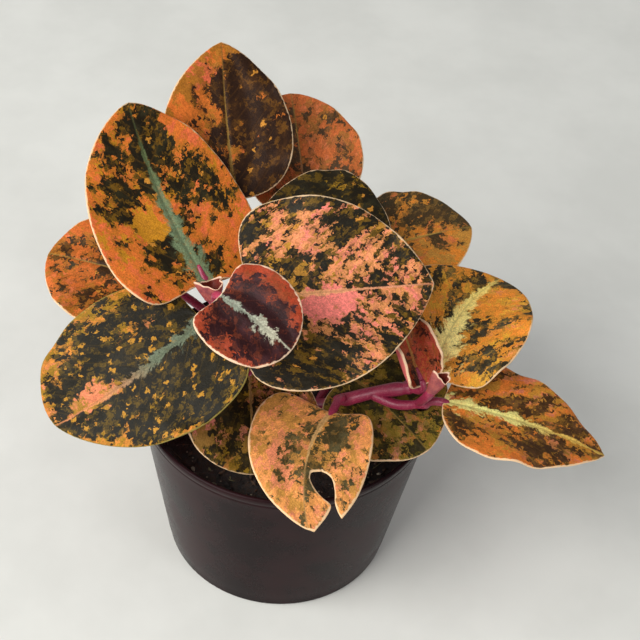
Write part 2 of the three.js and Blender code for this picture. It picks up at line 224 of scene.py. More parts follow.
PAINTS = {
    "leaf_upper_left": dict(
        seed=3, ground="#cc6a2a", blush="#d2643a", blush_amount=0.4, gold="#b07c1a",
        gold_amount=0.34, dark="#1d170c", sheen="#2c2817", dark_amount=0.56, dark_to_margin=-0.3,
        dark_to_tip=0.2, blotch=3.5, stretch=1.15, rib="#6c7c5c", rib_tip="#55603c",
        rib_width=2.6, rib_end=0.86, specks=0.14,
        spots=[("gold", 0.36, -0.3, 6, 5, 0.6), ("dark", 0.36, -0.3, 6, 5, -0.6),
               ("dark", 0.52, -0.55, 9, 6, 0.2), ("dark", 0.2, -0.3, 7, 5, 0.3),
               ("dark", 0.78, 0.2, 8, 5, 0.35), ("dark", 0.45, 0.6, 12, 6, 0.12)],
    ),
    "leaf_top": dict(
        seed=11, ground="#c26426", blush="#c65c3c", blush_amount=0.25, gold="#93601c",
        gold_amount=0.45, dark="#27160c", sheen="#3a2311", dark_amount=0.64,
        dark_to_margin=-0.2, dark_to_right=0.34, dark_to_tip=-0.12, blotch=4.6, rib="#8a6a30",
        rib_tip="#8c6a30", rib_width=0.5,
        spots=[("dark", 0.93, 0, 5, 6, -0.35), ("blush", 0.8, -0.6, 6, 5, 0.5)],
    ),
    "leaf_top_back": dict(
        seed=5, ground="#bd6232", blush="#c26a42", gold="#94602a", dark="#42301f",
        sheen="#54402c", dark_amount=0.46, rib="#a87850", rib_width=0.4, blotch=3.2,
    ),
    "leaf_dark_back": dict(
        seed=8, ground="#a87826", blush="#c27a3c", gold="#8c6a18", gold_amount=0.7,
        dark="#1e190e", sheen="#2e2a1a", dark_amount=0.84, dark_to_margin=-0.1, blotch=3.2,
        rib="#453f28", rib_width=0.5, specks=0.12,
    ),
    "leaf_centre": dict(
        seed=21, ground="#dc8a5c", blush="#e0786c", blush_amount=0.45, gold="#a87c1e",
        gold_amount=0.3, dark="#1a160d", sheen="#28241a", dark_amount=0.55,
        dark_to_margin=0.04, blotch=2.7, stretch=2.2, slope=0.9, rib="#e0a06c",
        rib_tip="#dc9470", rib_width=0.9, rib_end=1.0, specks=0.03,
        spots=[("blush", 0.42, 0.12, 11, 5, 0.5), ("dark", 0.42, 0.12, 10, 4.5, -0.4),
               ("dark", 0.6, -0.25, 8, 4, -0.25), ("gold", 0.2, -0.2, 8, 7, 0.8),
               ("dark", 0.3, 0.75, 12, 6, 0.25), ("dark", 0.3, -0.6, 12, 7, -0.14)],
    ),
    "leaf_young_red": dict(
        seed=2, ground="#96381f", blush="#a0442e", blush_amount=0.4, gold="#8a4022",
        dark="#281112", sheen="#3c2022", dark_amount=0.84, dark_to_margin=-0.55, blotch=3.6,
        stretch=1.1, rib="#8f9684", rib_tip="#b8b49c", rib_width=0.9, rib_end=1.1,
        rib_edge=0.95, specks=0.0, margin="#e6c4a4", margin_width=0.36, under="#8a3a4c",
        spots=[("dark", 0.4, 0, 8, 5, 0.3), ("rib", 0.68, 0.12, 4.5, 4, 1.3)],
    ),
    "leaf_left_back": dict(
        seed=14, ground="#c0622a", blush="#c86a44", blush_amount=0.3, gold="#94601c",
        dark="#33200f", dark_amount=0.5, dark_to_tip=-0.2, rib="#7a5a30", rib_width=0.4,
    ),
    "leaf_lower_left": dict(
        seed=7, ground="#c47a30", blush="#cc7650", blush_amount=0.3, gold="#8c6c14",
        gold_amount=0.5, dark="#18150b", sheen="#252116", dark_amount=0.8,
        dark_to_margin=-0.34, dark_to_tip=-0.1, dark_to_right=-0.06, stretch=1.05,
        rib="#66705a", rib_tip="#cf8452", rib_width=1.7, rib_end=1.05, rib_edge=0.9,
        specks=0.34, speck="#b07c24", margin="#8a7a3c", margin_width=0.22,
        spots=[("dark", 0.72, 0.08, 9, 3, -0.6), ("blush", 0.72, 0.08, 9, 4, 0.6)],
    ),
    "leaf_lower_inner": dict(
        seed=9, ground="#b8763a", blush="#c87462", blush_amount=0.5, gold="#7c6218",
        gold_amount=0.5, dark="#1f190c", sheen="#332a16", dark_amount=0.64, blotch=3.2,
        rib="#a8804c", rib_width=0.5, specks=0.2, speck="#8c6c1c",
        spots=[("dark", 0.5, 0.75, 9, 5, -0.6), ("blush", 0.6, 0.8, 9, 5, 0.7)],
    ),
    "leaf_front_notched": dict(
        seed=17, ground="#e29452", blush="#e08660", blush_amount=0.4, gold="#b4823a",
        gold_amount=0.45, dark="#40371f", sheen="#585034", dark_amount=0.49,
        dark_to_margin=-0.25, blotch=3.2, slope=1.4, rib="#c89e64", rib_tip="#d0a068",
        rib_width=0.8, rib_end=0.6, specks=0.05, margin="#e0bc90", margin_width=0.4,
        spots=[("blush", 0.5, 0.3, 8, 5, 0.6), ("dark", 0.22, -0.35, 7, 4, 0.4)],
    ),
    "leaf_lower_right": dict(
        seed=4, ground="#b8743c", blush="#c07c62", blush_amount=0.4, gold="#7c6e22",
        gold_amount=0.6, dark="#2a2713", dark_amount=0.52, rib="#96783c", rib_width=0.5,
        specks=0.1,
    ),
    "leaf_young_folded": dict(
        seed=6, ground="#a03a26", blush="#b04a3c", blush_amount=0.4, gold="#9c5a26",
        dark="#331a14", sheen="#452620", dark_amount=0.45, blotch=3, stretch=1.8, slope=2,
        rib="#a8703a", rib_width=0.5, rib_end=1, specks=0.0, margin="#e0bc98",
        margin_width=0.34, under="#cf5a60", under_vein="#dc8478",
    ),
    "leaf_right_upper": dict(
        seed=19, ground="#e08630", blush="#dc8650", gold="#d8a034", dark="#30281a",
        sheen="#454030", dark_to_margin=0.08, blotch=3.3, stretch=2.1, slope=0.85,
        rib="#fbe690", rib_tip="#f4d878", rib_width=4.6, rib_end=1.0, rib_edge=0.6,
        specks=0.04, under="#7c4e78",
    ),
    "leaf_right_back": dict(
        seed=13, ground="#d9822e", gold="#b8863a", dark="#44341f", dark_amount=0.46,
        dark_to_right=-0.35, stretch=1.6, rib="#bf9644", rib_width=0.8,
    ),
    "leaf_right_tip": dict(
        seed=16, ground="#c86c2a", blush="#bc6a50", gold="#a8782a", gold_amount=0.45,
        dark="#3c2612", sheen="#553822", dark_amount=0.54, blotch=2.8, stretch=2.6, slope=2.4,
        rib="#d4cc7c", rib_tip="#d0a850", rib_width=2.2, rib_end=1.05, rib_edge=0.8,
        specks=0.03,
    ),
    "leaf_back_low": dict(seed=23, dark_amount=0.5),
    "leaf_back_left_low": dict(seed=27, dark_amount=0.55, gold_amount=0.5),
}

# ---- Meshes ------------------------------------------------------------------------------------


def place_object(name, data):
    """A new object in the scene."""
    made = bpy.data.objects.new(name, data)
    bpy.context.scene.collection.objects.link(made)
    return made


def add_piece(node, points, faces, indices, materials):
    """Puts points (millimetres), faces and each face's material number into a piece that rides on
    the root body and stands in for a node of the model."""
    mesh = bpy.data.meshes.new(node + "_surface")
    mesh.from_pydata((points * MM).tolist(), [], faces)
    mesh.polygons.foreach_set("material_index", indices)
    mesh.polygons.foreach_set("use_smooth", np.ones(len(mesh.polygons), bool))
    for material in materials:
        mesh.materials.append(material)
    piece = place_object(node + "_surface", mesh)
    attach(piece, "root")
    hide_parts(node)
    return piece


def gather(*parts):
    """The points and faces of several skins as one, with the number of its skin for each face."""
    points, faces, indices = [], [], []
    for number, (skin, joined) in enumerate(parts):
        start = sum(map(len, points))
        points.append(skin)
        faces += [[start + corner for corner in face] for face in joined]
        indices += [number] * len(joined)
    return np.concatenate(points), faces, indices


def keep_value(mesh, name, values):
    """Stores one number, or three, for each point of a mesh, for its material to read."""
    kind = "FLOAT_VECTOR" if values.ndim == 2 else "FLOAT"
    attribute = mesh.attributes.new(name, kind, "POINT")
    field = "vector" if values.ndim == 2 else "value"
    attribute.data.foreach_set(field, values.astype(np.float32).ravel())


def weld(mesh, reach):
    """Joins points closer than reach, in metres, and drops the faces that vanish."""
    shape = bmesh.new()
    shape.from_mesh(mesh)
    bmesh.ops.remove_doubles(shape, verts=shape.verts, dist=reach)
    bmesh.ops.recalc_face_normals(shape, faces=shape.faces)
    shape.to_mesh(mesh)
    shape.free()


def drill(piece, radius, depth, place):
    """Cuts a round hole, its radius and depth in millimetres, where the matrix place puts it."""
    bpy.ops.mesh.primitive_cylinder_add(vertices=40, radius=radius * MM, depth=depth * MM)
    cutter = bpy.context.object
    cutter.data.transform(place)
    step = piece.modifiers.new("hole", "BOOLEAN")
    step.operation = "DIFFERENCE"
    step.solver = "EXACT"
    step.object = cutter
    bpy.context.view_layer.update()
    with bpy.context.temp_override(object=piece, active_object=piece):
        bpy.ops.object.modifier_apply(modifier=step.name)
    bpy.data.objects.remove(cutter)


def skin_faces(count, sides):
    """Faces of a closed skin: rings of equal sides in order, with a pole before and after them."""
    ring = np.arange(count - 1)[:, None] * sides + 1
    here = np.arange(sides)[None, :]
    after = (here + 1) % sides
    quads = np.stack([ring + here, ring + after, ring + sides + after, ring + sides + here], -1)
    last = (count - 1) * sides + 1
    pole = count * sides + 1
    head = np.stack([after[0] + 1, here[0] + 1, np.zeros(sides, int)], -1)
    tail = np.stack([last + here[0], last + after[0], np.full(sides, pole)], -1)
    return quads.reshape(-1, 4).tolist() + head.tolist() + tail.tolist()


def skin_points(rings, first, last):
    """The points that skin_faces joins."""
    return np.concatenate([first[None], rings.reshape(-1, 3), last[None]])


def unit(vectors):
    """Vectors with their length made one."""
    return vectors / np.linalg.norm(vectors, axis=-1, keepdims=True)


def eased(count):
    """Numbers from 0 to 1, closer together at both ends: (1 - cos(pi u)) / 2."""
    return (1 - np.cos(np.pi * np.linspace(0, 1, count))) / 2


def smooth_run(points, u):
    """A curve through points at shares u of its run: cubic Hermite pieces over the chord lengths."""
    points = np.array(points, float)
    chord = np.linalg.norm(np.diff(points, axis=0), axis=1)
    knots = np.concatenate([[0], np.cumsum(np.sqrt(chord))])
    slopes = np.gradient(points, knots, axis=0)
    where = np.asarray(u) * knots[-1]
    k = np.clip(np.searchsorted(knots, where, side="right") - 1, 0, len(chord) - 1)
    width = (knots[k + 1] - knots[k])[:, None]
    v = (where - knots[k])[:, None] / width
    return (
        (2 * v**3 - 3 * v**2 + 1) * points[k] + (v**3 - 2 * v**2 + v) * width * slopes[k]
        + (3 * v**2 - 2 * v**3) * points[k + 1] + (v**3 - v**2) * width * slopes[k + 1]
    )


def bezier(a, b, c, d, u):
    """A cubic curve from a to d that sets out towards b and arrives from c."""
    u = u[:, None]
    return (1 - u) ** 3 * a + 3 * (1 - u) ** 2 * u * b + 3 * (1 - u) * u**2 * c + u**3 * d


def tube(path, radii, sides):
    """A round tube along a path: rings of the given radii, square to it, closed by poles."""
    tangents = unit(np.gradient(path, axis=0))
    chord = path[-1] - path[0]
    axis = np.eye(3)[np.argmin(np.abs(chord))]
    one = unit(np.cross(tangents, np.cross(chord, axis)))
    two = np.cross(tangents, one)
    angle = np.linspace(0, 2 * np.pi, sides, endpoint=False)
    ring = np.cos(angle)[:, None] * one[:, None, :] + np.sin(angle)[:, None] * two[:, None, :]
    rings = path[:, None, :] + radii[:, None, None] * ring
    return skin_points(rings, path[0], path[-1]), skin_faces(len(path), sides)


def rounded(path, radius):
    """Radii that close a tube's ends like a dome: radius * sqrt(1 - (1 - l / radius)^2)."""
    step = np.linalg.norm(np.diff(path, axis=0), axis=1)
    length = np.concatenate([[0], np.cumsum(step)])
    end = np.minimum(length, length[-1] - length)
    return radius * np.sqrt(1 - (1 - np.clip(end / radius, 0.04, 1)) ** 2)


def waves(x, y, size, seed, count=28):
    """Gentle uneven lumps about size across: a sum of sine waves in seeded directions."""
    rng = np.random.default_rng(seed)
    turn = rng.uniform(0, 2 * np.pi, count)
    pace = rng.uniform(0.6, 1.5, count) * 2 * np.pi / size
    start = rng.uniform(0, 2 * np.pi, count)
    phase = x[..., None] * np.cos(turn) * pace + y[..., None] * np.sin(turn) * pace + start
    return np.sin(phase).sum(-1) / np.sqrt(count / 2)


# ---- Node trees --------------------------------------------------------------------------------


def colour(text):
    """A #rrggbb colour as linear light with full alpha."""
    levels = np.array([int(text[i:i + 2], 16) for i in (1, 3, 5)]) / 255
    linear = np.where(levels <= 0.04045, levels / 12.92, ((levels + 0.055) / 1.055) ** 2.4)
    return (*linear.tolist(), 1.0)


class Tree:
    """Short forms for the nodes that the skins are made of, in a material or a shared group."""

    def __init__(self, tree):
        self.tree = tree

    def node(self, kind, inputs=(), **settings):
        """A node with its settings, and its inputs as sockets, numbers, vectors or #rrggbb."""
        made = self.tree.nodes.new(kind)
        for name, value in settings.items():
            setattr(made, name, value)
        for key, value in dict(inputs).items():
            if isinstance(value, bpy.types.NodeSocket):
                self.tree.links.new(value, made.inputs[key])
            else:
                made.inputs[key].default_value = colour(value) if isinstance(value, str) else value
        return made

    def math(self, operation, a, b=0.0, c=0.0):
        return self.node("ShaderNodeMath", {0: a, 1: b, 2: c}, operation=operation).outputs[0]

    def times(self, a, b):
        return self.math("MULTIPLY", a, b)

    def plus(self, a, b):
        return self.math("ADD", a, b)

    def minus(self, a, b):
        return self.math("SUBTRACT", a, b)

    def over(self, a, b):
        return self.math("DIVIDE", a, b)

    def times_plus(self, a, b, c):
        return self.math("MULTIPLY_ADD", a, b, c)

    def ramp(self, value, low, high, start=0.0, end=1.0):
        """Runs smoothly from start to end as value runs from low to high."""
        inputs = {"Value": value, 1: low, 2: high, 3: start, 4: end}
        return self.node("ShaderNodeMapRange", inputs, interpolation_type="SMOOTHSTEP").outputs[0]

    def blend(self, share, a, b, how="MIX"):
        inputs = {0: share, 6: a, 7: b}
        return self.node("ShaderNodeMix", inputs, data_type="RGBA", blend_type=how).outputs[2]

    def use(self, group, values):
        """Places a shared group with its own values."""
        return self.node("ShaderNodeGroup", values, node_tree=GROUPS[group])

    def grained(self, skin, grain, share, low, high):
        values = dict(skin=skin, grain=grain, share=share, low=low, high=high)
        return self.use("grain", values).outputs["Color"]

    def flecks(self, place, scale, limit, near, far, strength):
        values = dict(place=place, scale=scale, limit=limit, near=near, far=far, strength=strength)
        return self.use("flecks", values).outputs["Mask"]

    def split(self, vector):
        return self.node("ShaderNodeSeparateXYZ", {0: vector}).outputs

    def join(self, x, y, z=0.0):
        return self.node("ShaderNodeCombineXYZ", {0: x, 1: y, 2: z}).outputs[0]

    def vector(self, operation, a, b):
        return self.node("ShaderNodeVectorMath", {0: a, 1: b}, operation=operation).outputs[0]

    def noise(self, vector, scale, detail=2.0, rough=0.5):
        inputs = {"Vector": vector, "Scale": scale, "Detail": detail, "Roughness": rough}
        return self.node("ShaderNodeTexNoise", inputs).outputs[0]

    def wander(self, vector, scale, detail, reach):
        """A vector moved about sideways by noise, by up to about half of reach."""
        inputs = {"Vector": vector, "Scale": scale, "Detail": detail}
        drift = self.node("ShaderNodeTexNoise", inputs).outputs["Color"]
        drift = self.vector("SUBTRACT", drift, (0.5, 0.5, 0.5))
        return self.vector("ADD", vector, self.vector("MULTIPLY", drift, (reach, reach, 0.0)))

    def cells(self, vector, scale):
        return self.node("ShaderNodeTexVoronoi", {"Vector": vector, "Scale": scale}).outputs

    def read(self, name):
        return self.node("ShaderNodeAttribute", attribute_name=name).outputs["Vector"]

    def objects(self):
        """The piece's own coordinates, in millimetres."""
        own = self.node("ShaderNodeTexCoord").outputs["Object"]
        return self.vector("MULTIPLY", own, (1 / MM,) * 3)


GROUPS = {}


def make_group(name, inputs, outputs, build):
    """A shared node group with named inputs (name: default) and outputs (name: socket type)."""
    group = bpy.data.node_groups.new(name, "ShaderNodeTree")
    kinds = {str: "NodeSocketColor", tuple: "NodeSocketVector"}
    for label, default in inputs.items():
        kind = kinds.get(type(default), "NodeSocketFloat")
        socket = group.interface.new_socket(label, in_out="INPUT", socket_type=kind)
        socket.default_value = colour(default) if isinstance(default, str) else default
    for label, kind in outputs.items():
        group.interface.new_socket(label, in_out="OUTPUT", socket_type=kind)
    entry = group.nodes.new("NodeGroupInput")
    leave = group.nodes.new("NodeGroupOutput")
    made = build(Tree(group), entry.outputs)
    for label in outputs:
        group.links.new(made[label], leave.inputs[label])
    GROUPS[name] = group


FACE_OUT = {"Color": "NodeSocketColor", "Rough": "NodeSocketFloat", "Height": "NodeSocketFloat"}
COARSE_SHARE = 0.3
LEAF_IN = {
    key: value for key, value in PLAIN_PAINT.items() if key not in ("spots", "under", "under_vein")
}
LEAF_IN.update(seed=0.0, dark_push=0.0, gold_push=0.0, blush_push=0.0, rib_push=0.0)


def grain_tint(t, take):
    """A colour made darker and lighter by a grain, between low and high times as bright."""
    tone = t.ramp(take["grain"], 0.25, 0.75, take["low"], take["high"])
    return {"Color": t.blend(take["share"], take["skin"], tone, "MULTIPLY")}


def fleck_mask(t, take):
    """Round specks in the few cells whose random number is past a limit."""
    cell = t.cells(take["place"], take["scale"])
    few = t.math("GREATER_THAN", t.split(cell["Color"])[0], take["limit"])
    dot = t.ramp(cell["Distance"], take["near"], take["far"], take["strength"], 0.0)
    return {"Mask": t.times(few, dot)}


def leaf_face(t, take):
    """The upper face. Places are turned to lie along the side veins, then snapped to small cells,
    so that the patches made from noise get ragged edges. Gold and dark patches lie over a two-tone
    ground, with specks, the feathered midrib, the pale margin and a fine grain on top."""
    x, y, margin = t.split(t.read("flat"))
    s, across, _ = t.split(t.read("place"))
    side = t.math("ABSOLUTE", x)
    layer = t.times_plus(t.math("SIGN", x), 7.3, t.times(take["seed"], 5.7))
    angle = t.math("ARCTANGENT", take["slope"])
    cosine, sine = t.math("COSINE", angle), t.math("SINE", angle)
    ahead = t.times_plus(side, cosine, t.times(y, sine))
    beside = t.minus(t.times(y, cosine), t.times(side, sine))
    beside = t.times_plus(t.times(side, side), -0.012, beside)
    run = t.join(ahead, beside, layer)
    bent = t.wander(run, 0.9, 4.0, 3.4)
    cell = t.cells(bent, 1.7)
    far, wide, _ = t.split(cell["Position"])
    far = t.over(far, t.times(take["blotch"], take["stretch"]))
    patch = t.join(far, t.over(wide, take["blotch"]), layer)

    def patches(offset, share, soft):
        """Fine and coarse noise, its limit that falls as the share grows, and what is over it."""
        where = t.vector("ADD", patch, (offset, offset, offset))
        fine = t.noise(where, 1.0, 6.0, 0.74)
        value = t.times_plus(t.noise(where, 0.36, 1.0), COARSE_SHARE, fine)
        limit = t.times_plus(share, -0.5, 0.75 + 0.5 * COARSE_SHARE)
        return value, limit, t.ramp(value, t.minus(limit, soft), t.plus(limit, soft))

    dark_share, gold_share, blush_share = (
        t.plus(take[coat + "_amount"], take[coat + "_push"]) for coat in ("dark", "gold", "blush")
    )
    edge = t.times(across, across)
    ways = {"margin": edge, "tip": t.minus(s, 0.5), "right": across}
    for way, place in ways.items():
        dark_share = t.times_plus(place, take["dark_to_" + way], dark_share)
    value, limit, dark_mask = patches(0.0, dark_share, 0.014)
    gold_mask = patches(31.0, gold_share, 0.03)[2]
    blush_mask = patches(57.0, blush_share, 0.05)[2]
    tint = t.split(cell["Color"])[0]
    ground = t.blend(blush_mask, take["ground"], take["blush"])
    ground = t.blend(t.times(gold_mask, 0.85), ground, take["gold"])
    ground = t.blend(0.3, ground, t.ramp(tint, 0.0, 1.0, 0.45, 1.3), "MULTIPLY")
    # Brown and olive shade just outside a dark patch, as if it lay deeper in the leaf.
    shade = t.ramp(value, t.minus(limit, 0.12), limit)
    umber = t.blend(0.42, take["gold"], take["dark"])
    ground = t.blend(t.times(shade, 0.55), ground, umber)
    # Painted sheen: noise clouds lighten dark patches to the sheen colour, a painted reflection.
    painted_sheen = t.ramp(t.noise(run, 0.2, 3.0, 0.6), 0.45, 0.7)
    deep = t.blend(painted_sheen, take["dark"], take["sheen"])
    olive = t.ramp(t.noise(t.vector("ADD", patch, (83.0, 9.0, 0.0)), 1.6, 4.0, 0.7), 0.5, 0.62)
    deep = t.blend(t.times(olive, 0.3), deep, take["gold"])

    dots = t.vector("ADD", bent, (11.0, 5.0, 3.0))
    chance_cell = t.cells(dots, 0.44)
    rare = t.minus(1.0, take["specks"])
    picked = t.math("GREATER_THAN", t.split(chance_cell["Color"])[1], rare)
    ragged = t.times_plus(t.noise(run, 1.7, 3.0, 0.7), 0.5, chance_cell["Distance"])
    speck_mask = t.times(picked, t.ramp(ragged, 0.52, 0.6, 0.92, 0.0))
    deep = t.blend(speck_mask, deep, take["speck"])
    skin = t.blend(dark_mask, ground, deep)

    # The midrib's feathered streak, widest near the base, and its thin line.
    left = t.ramp(s, 0.0, take["rib_end"], 1.0, 0.12)
    feather = t.noise(t.join(t.times(ahead, 0.5), beside, layer), 0.42, 5.0, 0.75)
    feather = t.ramp(feather, 0.34, 0.7, t.minus(1.0, take["rib_edge"]), 1.9)
    width = t.times_plus(take["rib_width"], left, take["rib_push"])
    width = t.times(width, feather)
    rib_mask = t.ramp(side, t.times(width, 0.6), t.times(width, 1.2), 1, 0)
    past = t.minus(take["rib_end"], 0.15)
    rib_mask = t.times(rib_mask, t.ramp(s, past, take["rib_end"], 1.0, 0.0))
    rib_colour = t.blend(t.ramp(s, 0.3, 0.8), take["rib"], take["rib_tip"])
    broken = t.ramp(t.noise(bent, 1.1, 4.0, 0.7), 0.36, 0.52, 0.55, 0.95)
    skin = t.blend(t.times(rib_mask, broken), skin, rib_colour)
    line = t.ramp(side, 0.1, 0.34, 0.5, 0.0)
    skin = t.blend(line, skin, t.blend(0.45, rib_colour, take["dark"]))
    # Side veins: thin darker lines at even steps, fading towards the margin.
    step = t.math("FRACT", t.times_plus(beside, 0.19, t.math("SIGN", x)))
    vein = t.ramp(t.math("ABSOLUTE", t.minus(step, 0.5)), 0.02, 0.055, 1.0, 0.0)
    vein = t.times(vein, t.ramp(edge, 0.2, 0.9, 0.22, 0.0))
    skin = t.blend(vein, skin, t.blend(0.25, take["dark"], take["gold"]))

    grain = t.noise(t.vector("ADD", run, (0.0, 0.0, 4.0)), 2.6, 5.0, 0.75)
    skin = t.grained(skin, grain, 0.75, 0.5, 1.45)
    jitter = t.ramp(t.noise(run, 0.8, 2.0), 0.3, 0.7, 0.5, 1.3)
    wide_margin = t.times(take["margin_width"], jitter)
    rim = t.ramp(margin, t.times(wide_margin, 0.5), t.times(wide_margin, 1.4), 0.9, 0)
    skin = t.blend(rim, skin, take["margin"])

    pores = t.cells(t.join(x, y, 0.0), 2.6)["Distance"]
    height = t.times_plus(grain, 0.5, t.times(pores, 0.35))
    height = t.times_plus(vein, -0.8, height)
    rough = t.times_plus(grain, 0.2, t.ramp(dark_mask, 0, 1, 0.42, 0.34))
    return {"Color": skin, "Rough": rough, "Height": height}


def leaf_back(t, take):
    """The underside: one soft colour with paler veins and a fine grain."""
    x, y, margin = t.split(t.read("flat"))
    run = t.join(x, y, t.times(take["seed"], 3.1))
    side = t.math("ABSOLUTE", x)
    cloud = t.ramp(t.noise(run, 0.16, 3.0), 0.35, 0.68)
    skin = t.blend(cloud, take["under"], t.blend(0.5, take["under"], take["under_vein"]))
    rib = t.ramp(side, 0.5, 1.3, 1.0, 0.0)
    wave = t.math("SINE", t.times(t.minus(y, side), 0.9))
    veins = t.ramp(wave, 0.9, 1.0)
    skin = t.blend(t.math("MAXIMUM", rib, t.times(veins, 0.35)), skin, take["under_vein"])
    grain = t.noise(run, 3.0, 3.0, 0.65)
    skin = t.grained(skin, grain, 0.5, 0.7, 1.2)
    skin = t.blend(t.ramp(margin, 0.3, 0.55, 1.0, 0.0), skin, take["margin"])
    rough = t.times_plus(grain, 0.2, 0.36)
    return {"Color": skin, "Rough": rough, "Height": grain}


def stalk_skin(t, take):
    """Stems and petioles: a juicy skin that turns from one colour to another in long clouds, with
    fine pale freckles."""
    place = t.objects()
    cloud = t.ramp(t.noise(place, 0.09, 2.0), 0.38, 0.62)
    skin = t.blend(cloud, take["one"], take["two"])
    freckle = t.ramp(t.noise(place, 2.2, 3.0, 0.7), 0.5, 0.66, 0.0, 0.4)
    skin = t.blend(freckle, skin, take["freckle"])
    grain = t.noise(place, 4.0, 3.0, 0.6)
    rough = t.times_plus(grain, 0.25, 0.26)
    return {"Color": skin, "Rough": rough, "Height": grain}


def spot_mask(t, take):
    """A ragged place on a leaf, its outline shifted by noise: one in its middle, nothing outside."""
    x, y, _ = t.split(t.wander(t.read("flat"), 0.3, 5.0, 14.0))
    right = t.over(t.minus(x, take["across"]), take["wide"])
    on = t.over(t.minus(y, take["along"]), take["long"])
    far = t.math("SQRT", t.times_plus(right, right, t.times(on, on)))
    return {"Mask": t.times(t.ramp(far, 0.5, 1.15, 1.0, 0.0), take["strength"])}


def moulded_plastic(t, take):
    """Thin moulded plastic: a faint cloudiness of painted reddish glints, dust specks and fine
    scratches round the wall.
    """
    place = t.objects()
    x, y, z = t.split(place)
    # Painted reflection: the cloudiness between two dark reds stands in for soft reddish glints.
    cloud = t.ramp(t.noise(place, 0.07, 3.0, 0.6), 0.35, 0.7)
    skin = t.blend(cloud, take["one"], take["two"])
    dots = t.flecks(place, 0.55, 0.93, 0.06, 0.14, 0.5)
    turn = t.math("ARCTAN2", y, x)
    rows = t.noise(t.join(t.times(turn, 5.0), t.times(z, 3.0), 0.0), 1.0, 3.0)
    scratch = t.ramp(rows, 0.66, 0.72, 0.0, 0.18)
    skin = t.blend(t.math("MAXIMUM", dots, scratch), skin, take["dust"])
    fine = t.noise(place, 1.6, 3.0, 0.6)
    rough = t.plus(t.times_plus(cloud, 0.07, 0.2), t.times(dots, 0.4))
    rough = t.times_plus(fine, 0.1, rough)
    return {"Color": skin, "Rough": rough, "Height": fine}


def crumbs(t, take):
    """Damp potting mix: dark crumbs with brown fibre and a few pale grains."""
    place = t.objects()
    lump = t.noise(place, 0.9, 5.0, 0.7)
    skin = t.blend(t.ramp(lump, 0.4, 0.62), take["one"], take["two"])
    skin = t.blend(t.flecks(place, 1.1, 0.9, 0.2, 0.36, 0.8), skin, take["dust"])
    rough = t.ramp(lump, 0.3, 0.7, 0.6, 0.95)
    return {"Color": skin, "Rough": rough, "Height": lump}


MASK_OUT = {"Mask": "NodeSocketFloat"}
make_group(
    "grain", dict(skin="#808080", grain=0.5, share=0.5, low=0.5, high=1.5),
    {"Color": "NodeSocketColor"}, grain_tint,
)
make_group(
    "flecks", dict(place=(0.0, 0.0, 0.0), scale=1.0, limit=0.9, near=0.1, far=0.2, strength=0.5),
    MASK_OUT, fleck_mask,
)
make_group(
    "leaf spot", dict(across=0.0, along=0.0, wide=1.0, long=1.0, strength=1.0), MASK_OUT, spot_mask
)
make_group("leaf face", LEAF_IN, FACE_OUT, leaf_face)
make_group(
    "leaf underside", dict(seed=0.0, under="#b5606c", under_vein="#d98a86", margin="#efd2a8"),
    FACE_OUT, leaf_back,
)
make_group(
    "stalk skin", dict(one="#7e1739", two="#9a2b49", freckle="#b8606c"), FACE_OUT, stalk_skin
)
# The pot's two dark reds are the ends of its painted reddish glints.
make_group(
    "moulded plastic", dict(one="#14080a", two="#251214", dust="#463a37"), FACE_OUT,
    moulded_plastic,
)
make_group("potting crumbs", dict(one="#120d0a", two="#33241a", dust="#8a7f6c"), FACE_OUT, crumbs)

# ---- Materials ---------------------------------------------------------------------------------

# How strongly a finish mirrors the lamps: a leaf, the pot, and anything else.
LEAF_GLOSS = 0.1
POT_GLOSS = 0.08
PLAIN_GLOSS = 0.5


def blank_material(name):
    """A new material, the short forms for its nodes and its Principled shader."""
    material = bpy.data.materials.new(name)
    material.use_nodes = True
    return material, Tree(material.node_tree), material.node_tree.nodes["Principled BSDF"]


def dress(t, shader, skin, rough, height, strength, depth):
    """Gives a shader its colour, its roughness and a bump that is depth millimetres high."""
    relief = t.node(
        "ShaderNodeBump", {"Height": height, "Strength": strength, "Distance": depth * MM}
    )
    t.tree.links.new(skin, shader.inputs["Base Color"])
    t.tree.links.new(rough, shader.inputs["Roughness"])
    t.tree.links.new(relief.outputs["Normal"], shader.inputs["Normal"])


def group_material(name, group, values, strength, depth, gloss=PLAIN_GLOSS):
    """A material whose colour, roughness and height come from a shared group."""
    material, t, shader = blank_material(name)
    shader.inputs["Specular IOR Level"].default_value = gloss
    skin = t.use(group, values)
    dress(t, shader, *(skin.outputs[key] for key in FACE_OUT), strength, depth)
    return material, t, skin


def chip_material():
    """Loose pieces from dark bark through brown fibre to a few pale grains, one tone each."""
    material, t, shader = blank_material("bark and grit")
    tone = t.node("ShaderNodeAttribute", attribute_name="tint").outputs["Fac"]
    grain = t.noise(t.objects(), 1.8, 4.0, 0.7)
    skin = t.blend(t.ramp(tone, 0.3, 0.75), "#1a120d", "#4c3524")
    skin = t.blend(t.ramp(tone, 0.78, 0.9), skin, "#5c5636")
    skin = t.blend(t.ramp(tone, 0.955, 0.985), skin, "#a39a86")
    skin = t.grained(skin, grain, 0.7, 0.45, 1.4)
    dress(t, shader, skin, t.ramp(grain, 0.3, 0.7, 0.6, 0.9), grain, 0.6, 0.3)
    return material


def bud_material():
    """A rolled young leaf: brownish crimson outside, darker red inside and a cream rim."""
    material, t, shader = blank_material("rolled young leaf")
    below, inside, _ = t.split(t.read("flat"))
    place = t.objects()
    cloud = t.ramp(t.noise(place, 0.5, 3.0), 0.35, 0.65)
    skin = t.blend(inside, t.blend(cloud, "#7c3238", "#9a4a44"), "#6e2418")
    grain = t.noise(place, 3.6, 3.0, 0.65)
    skin = t.grained(skin, grain, 0.6, 0.6, 1.3)
    skin = t.blend(t.ramp(below, 0.18, 0.5, 0.9, 0.0), skin, "#e6bea0")
    dress(t, shader, skin, t.ramp(grain, 0.3, 0.7, 0.34, 0.5), grain, 0.5, 0.12)
    return material


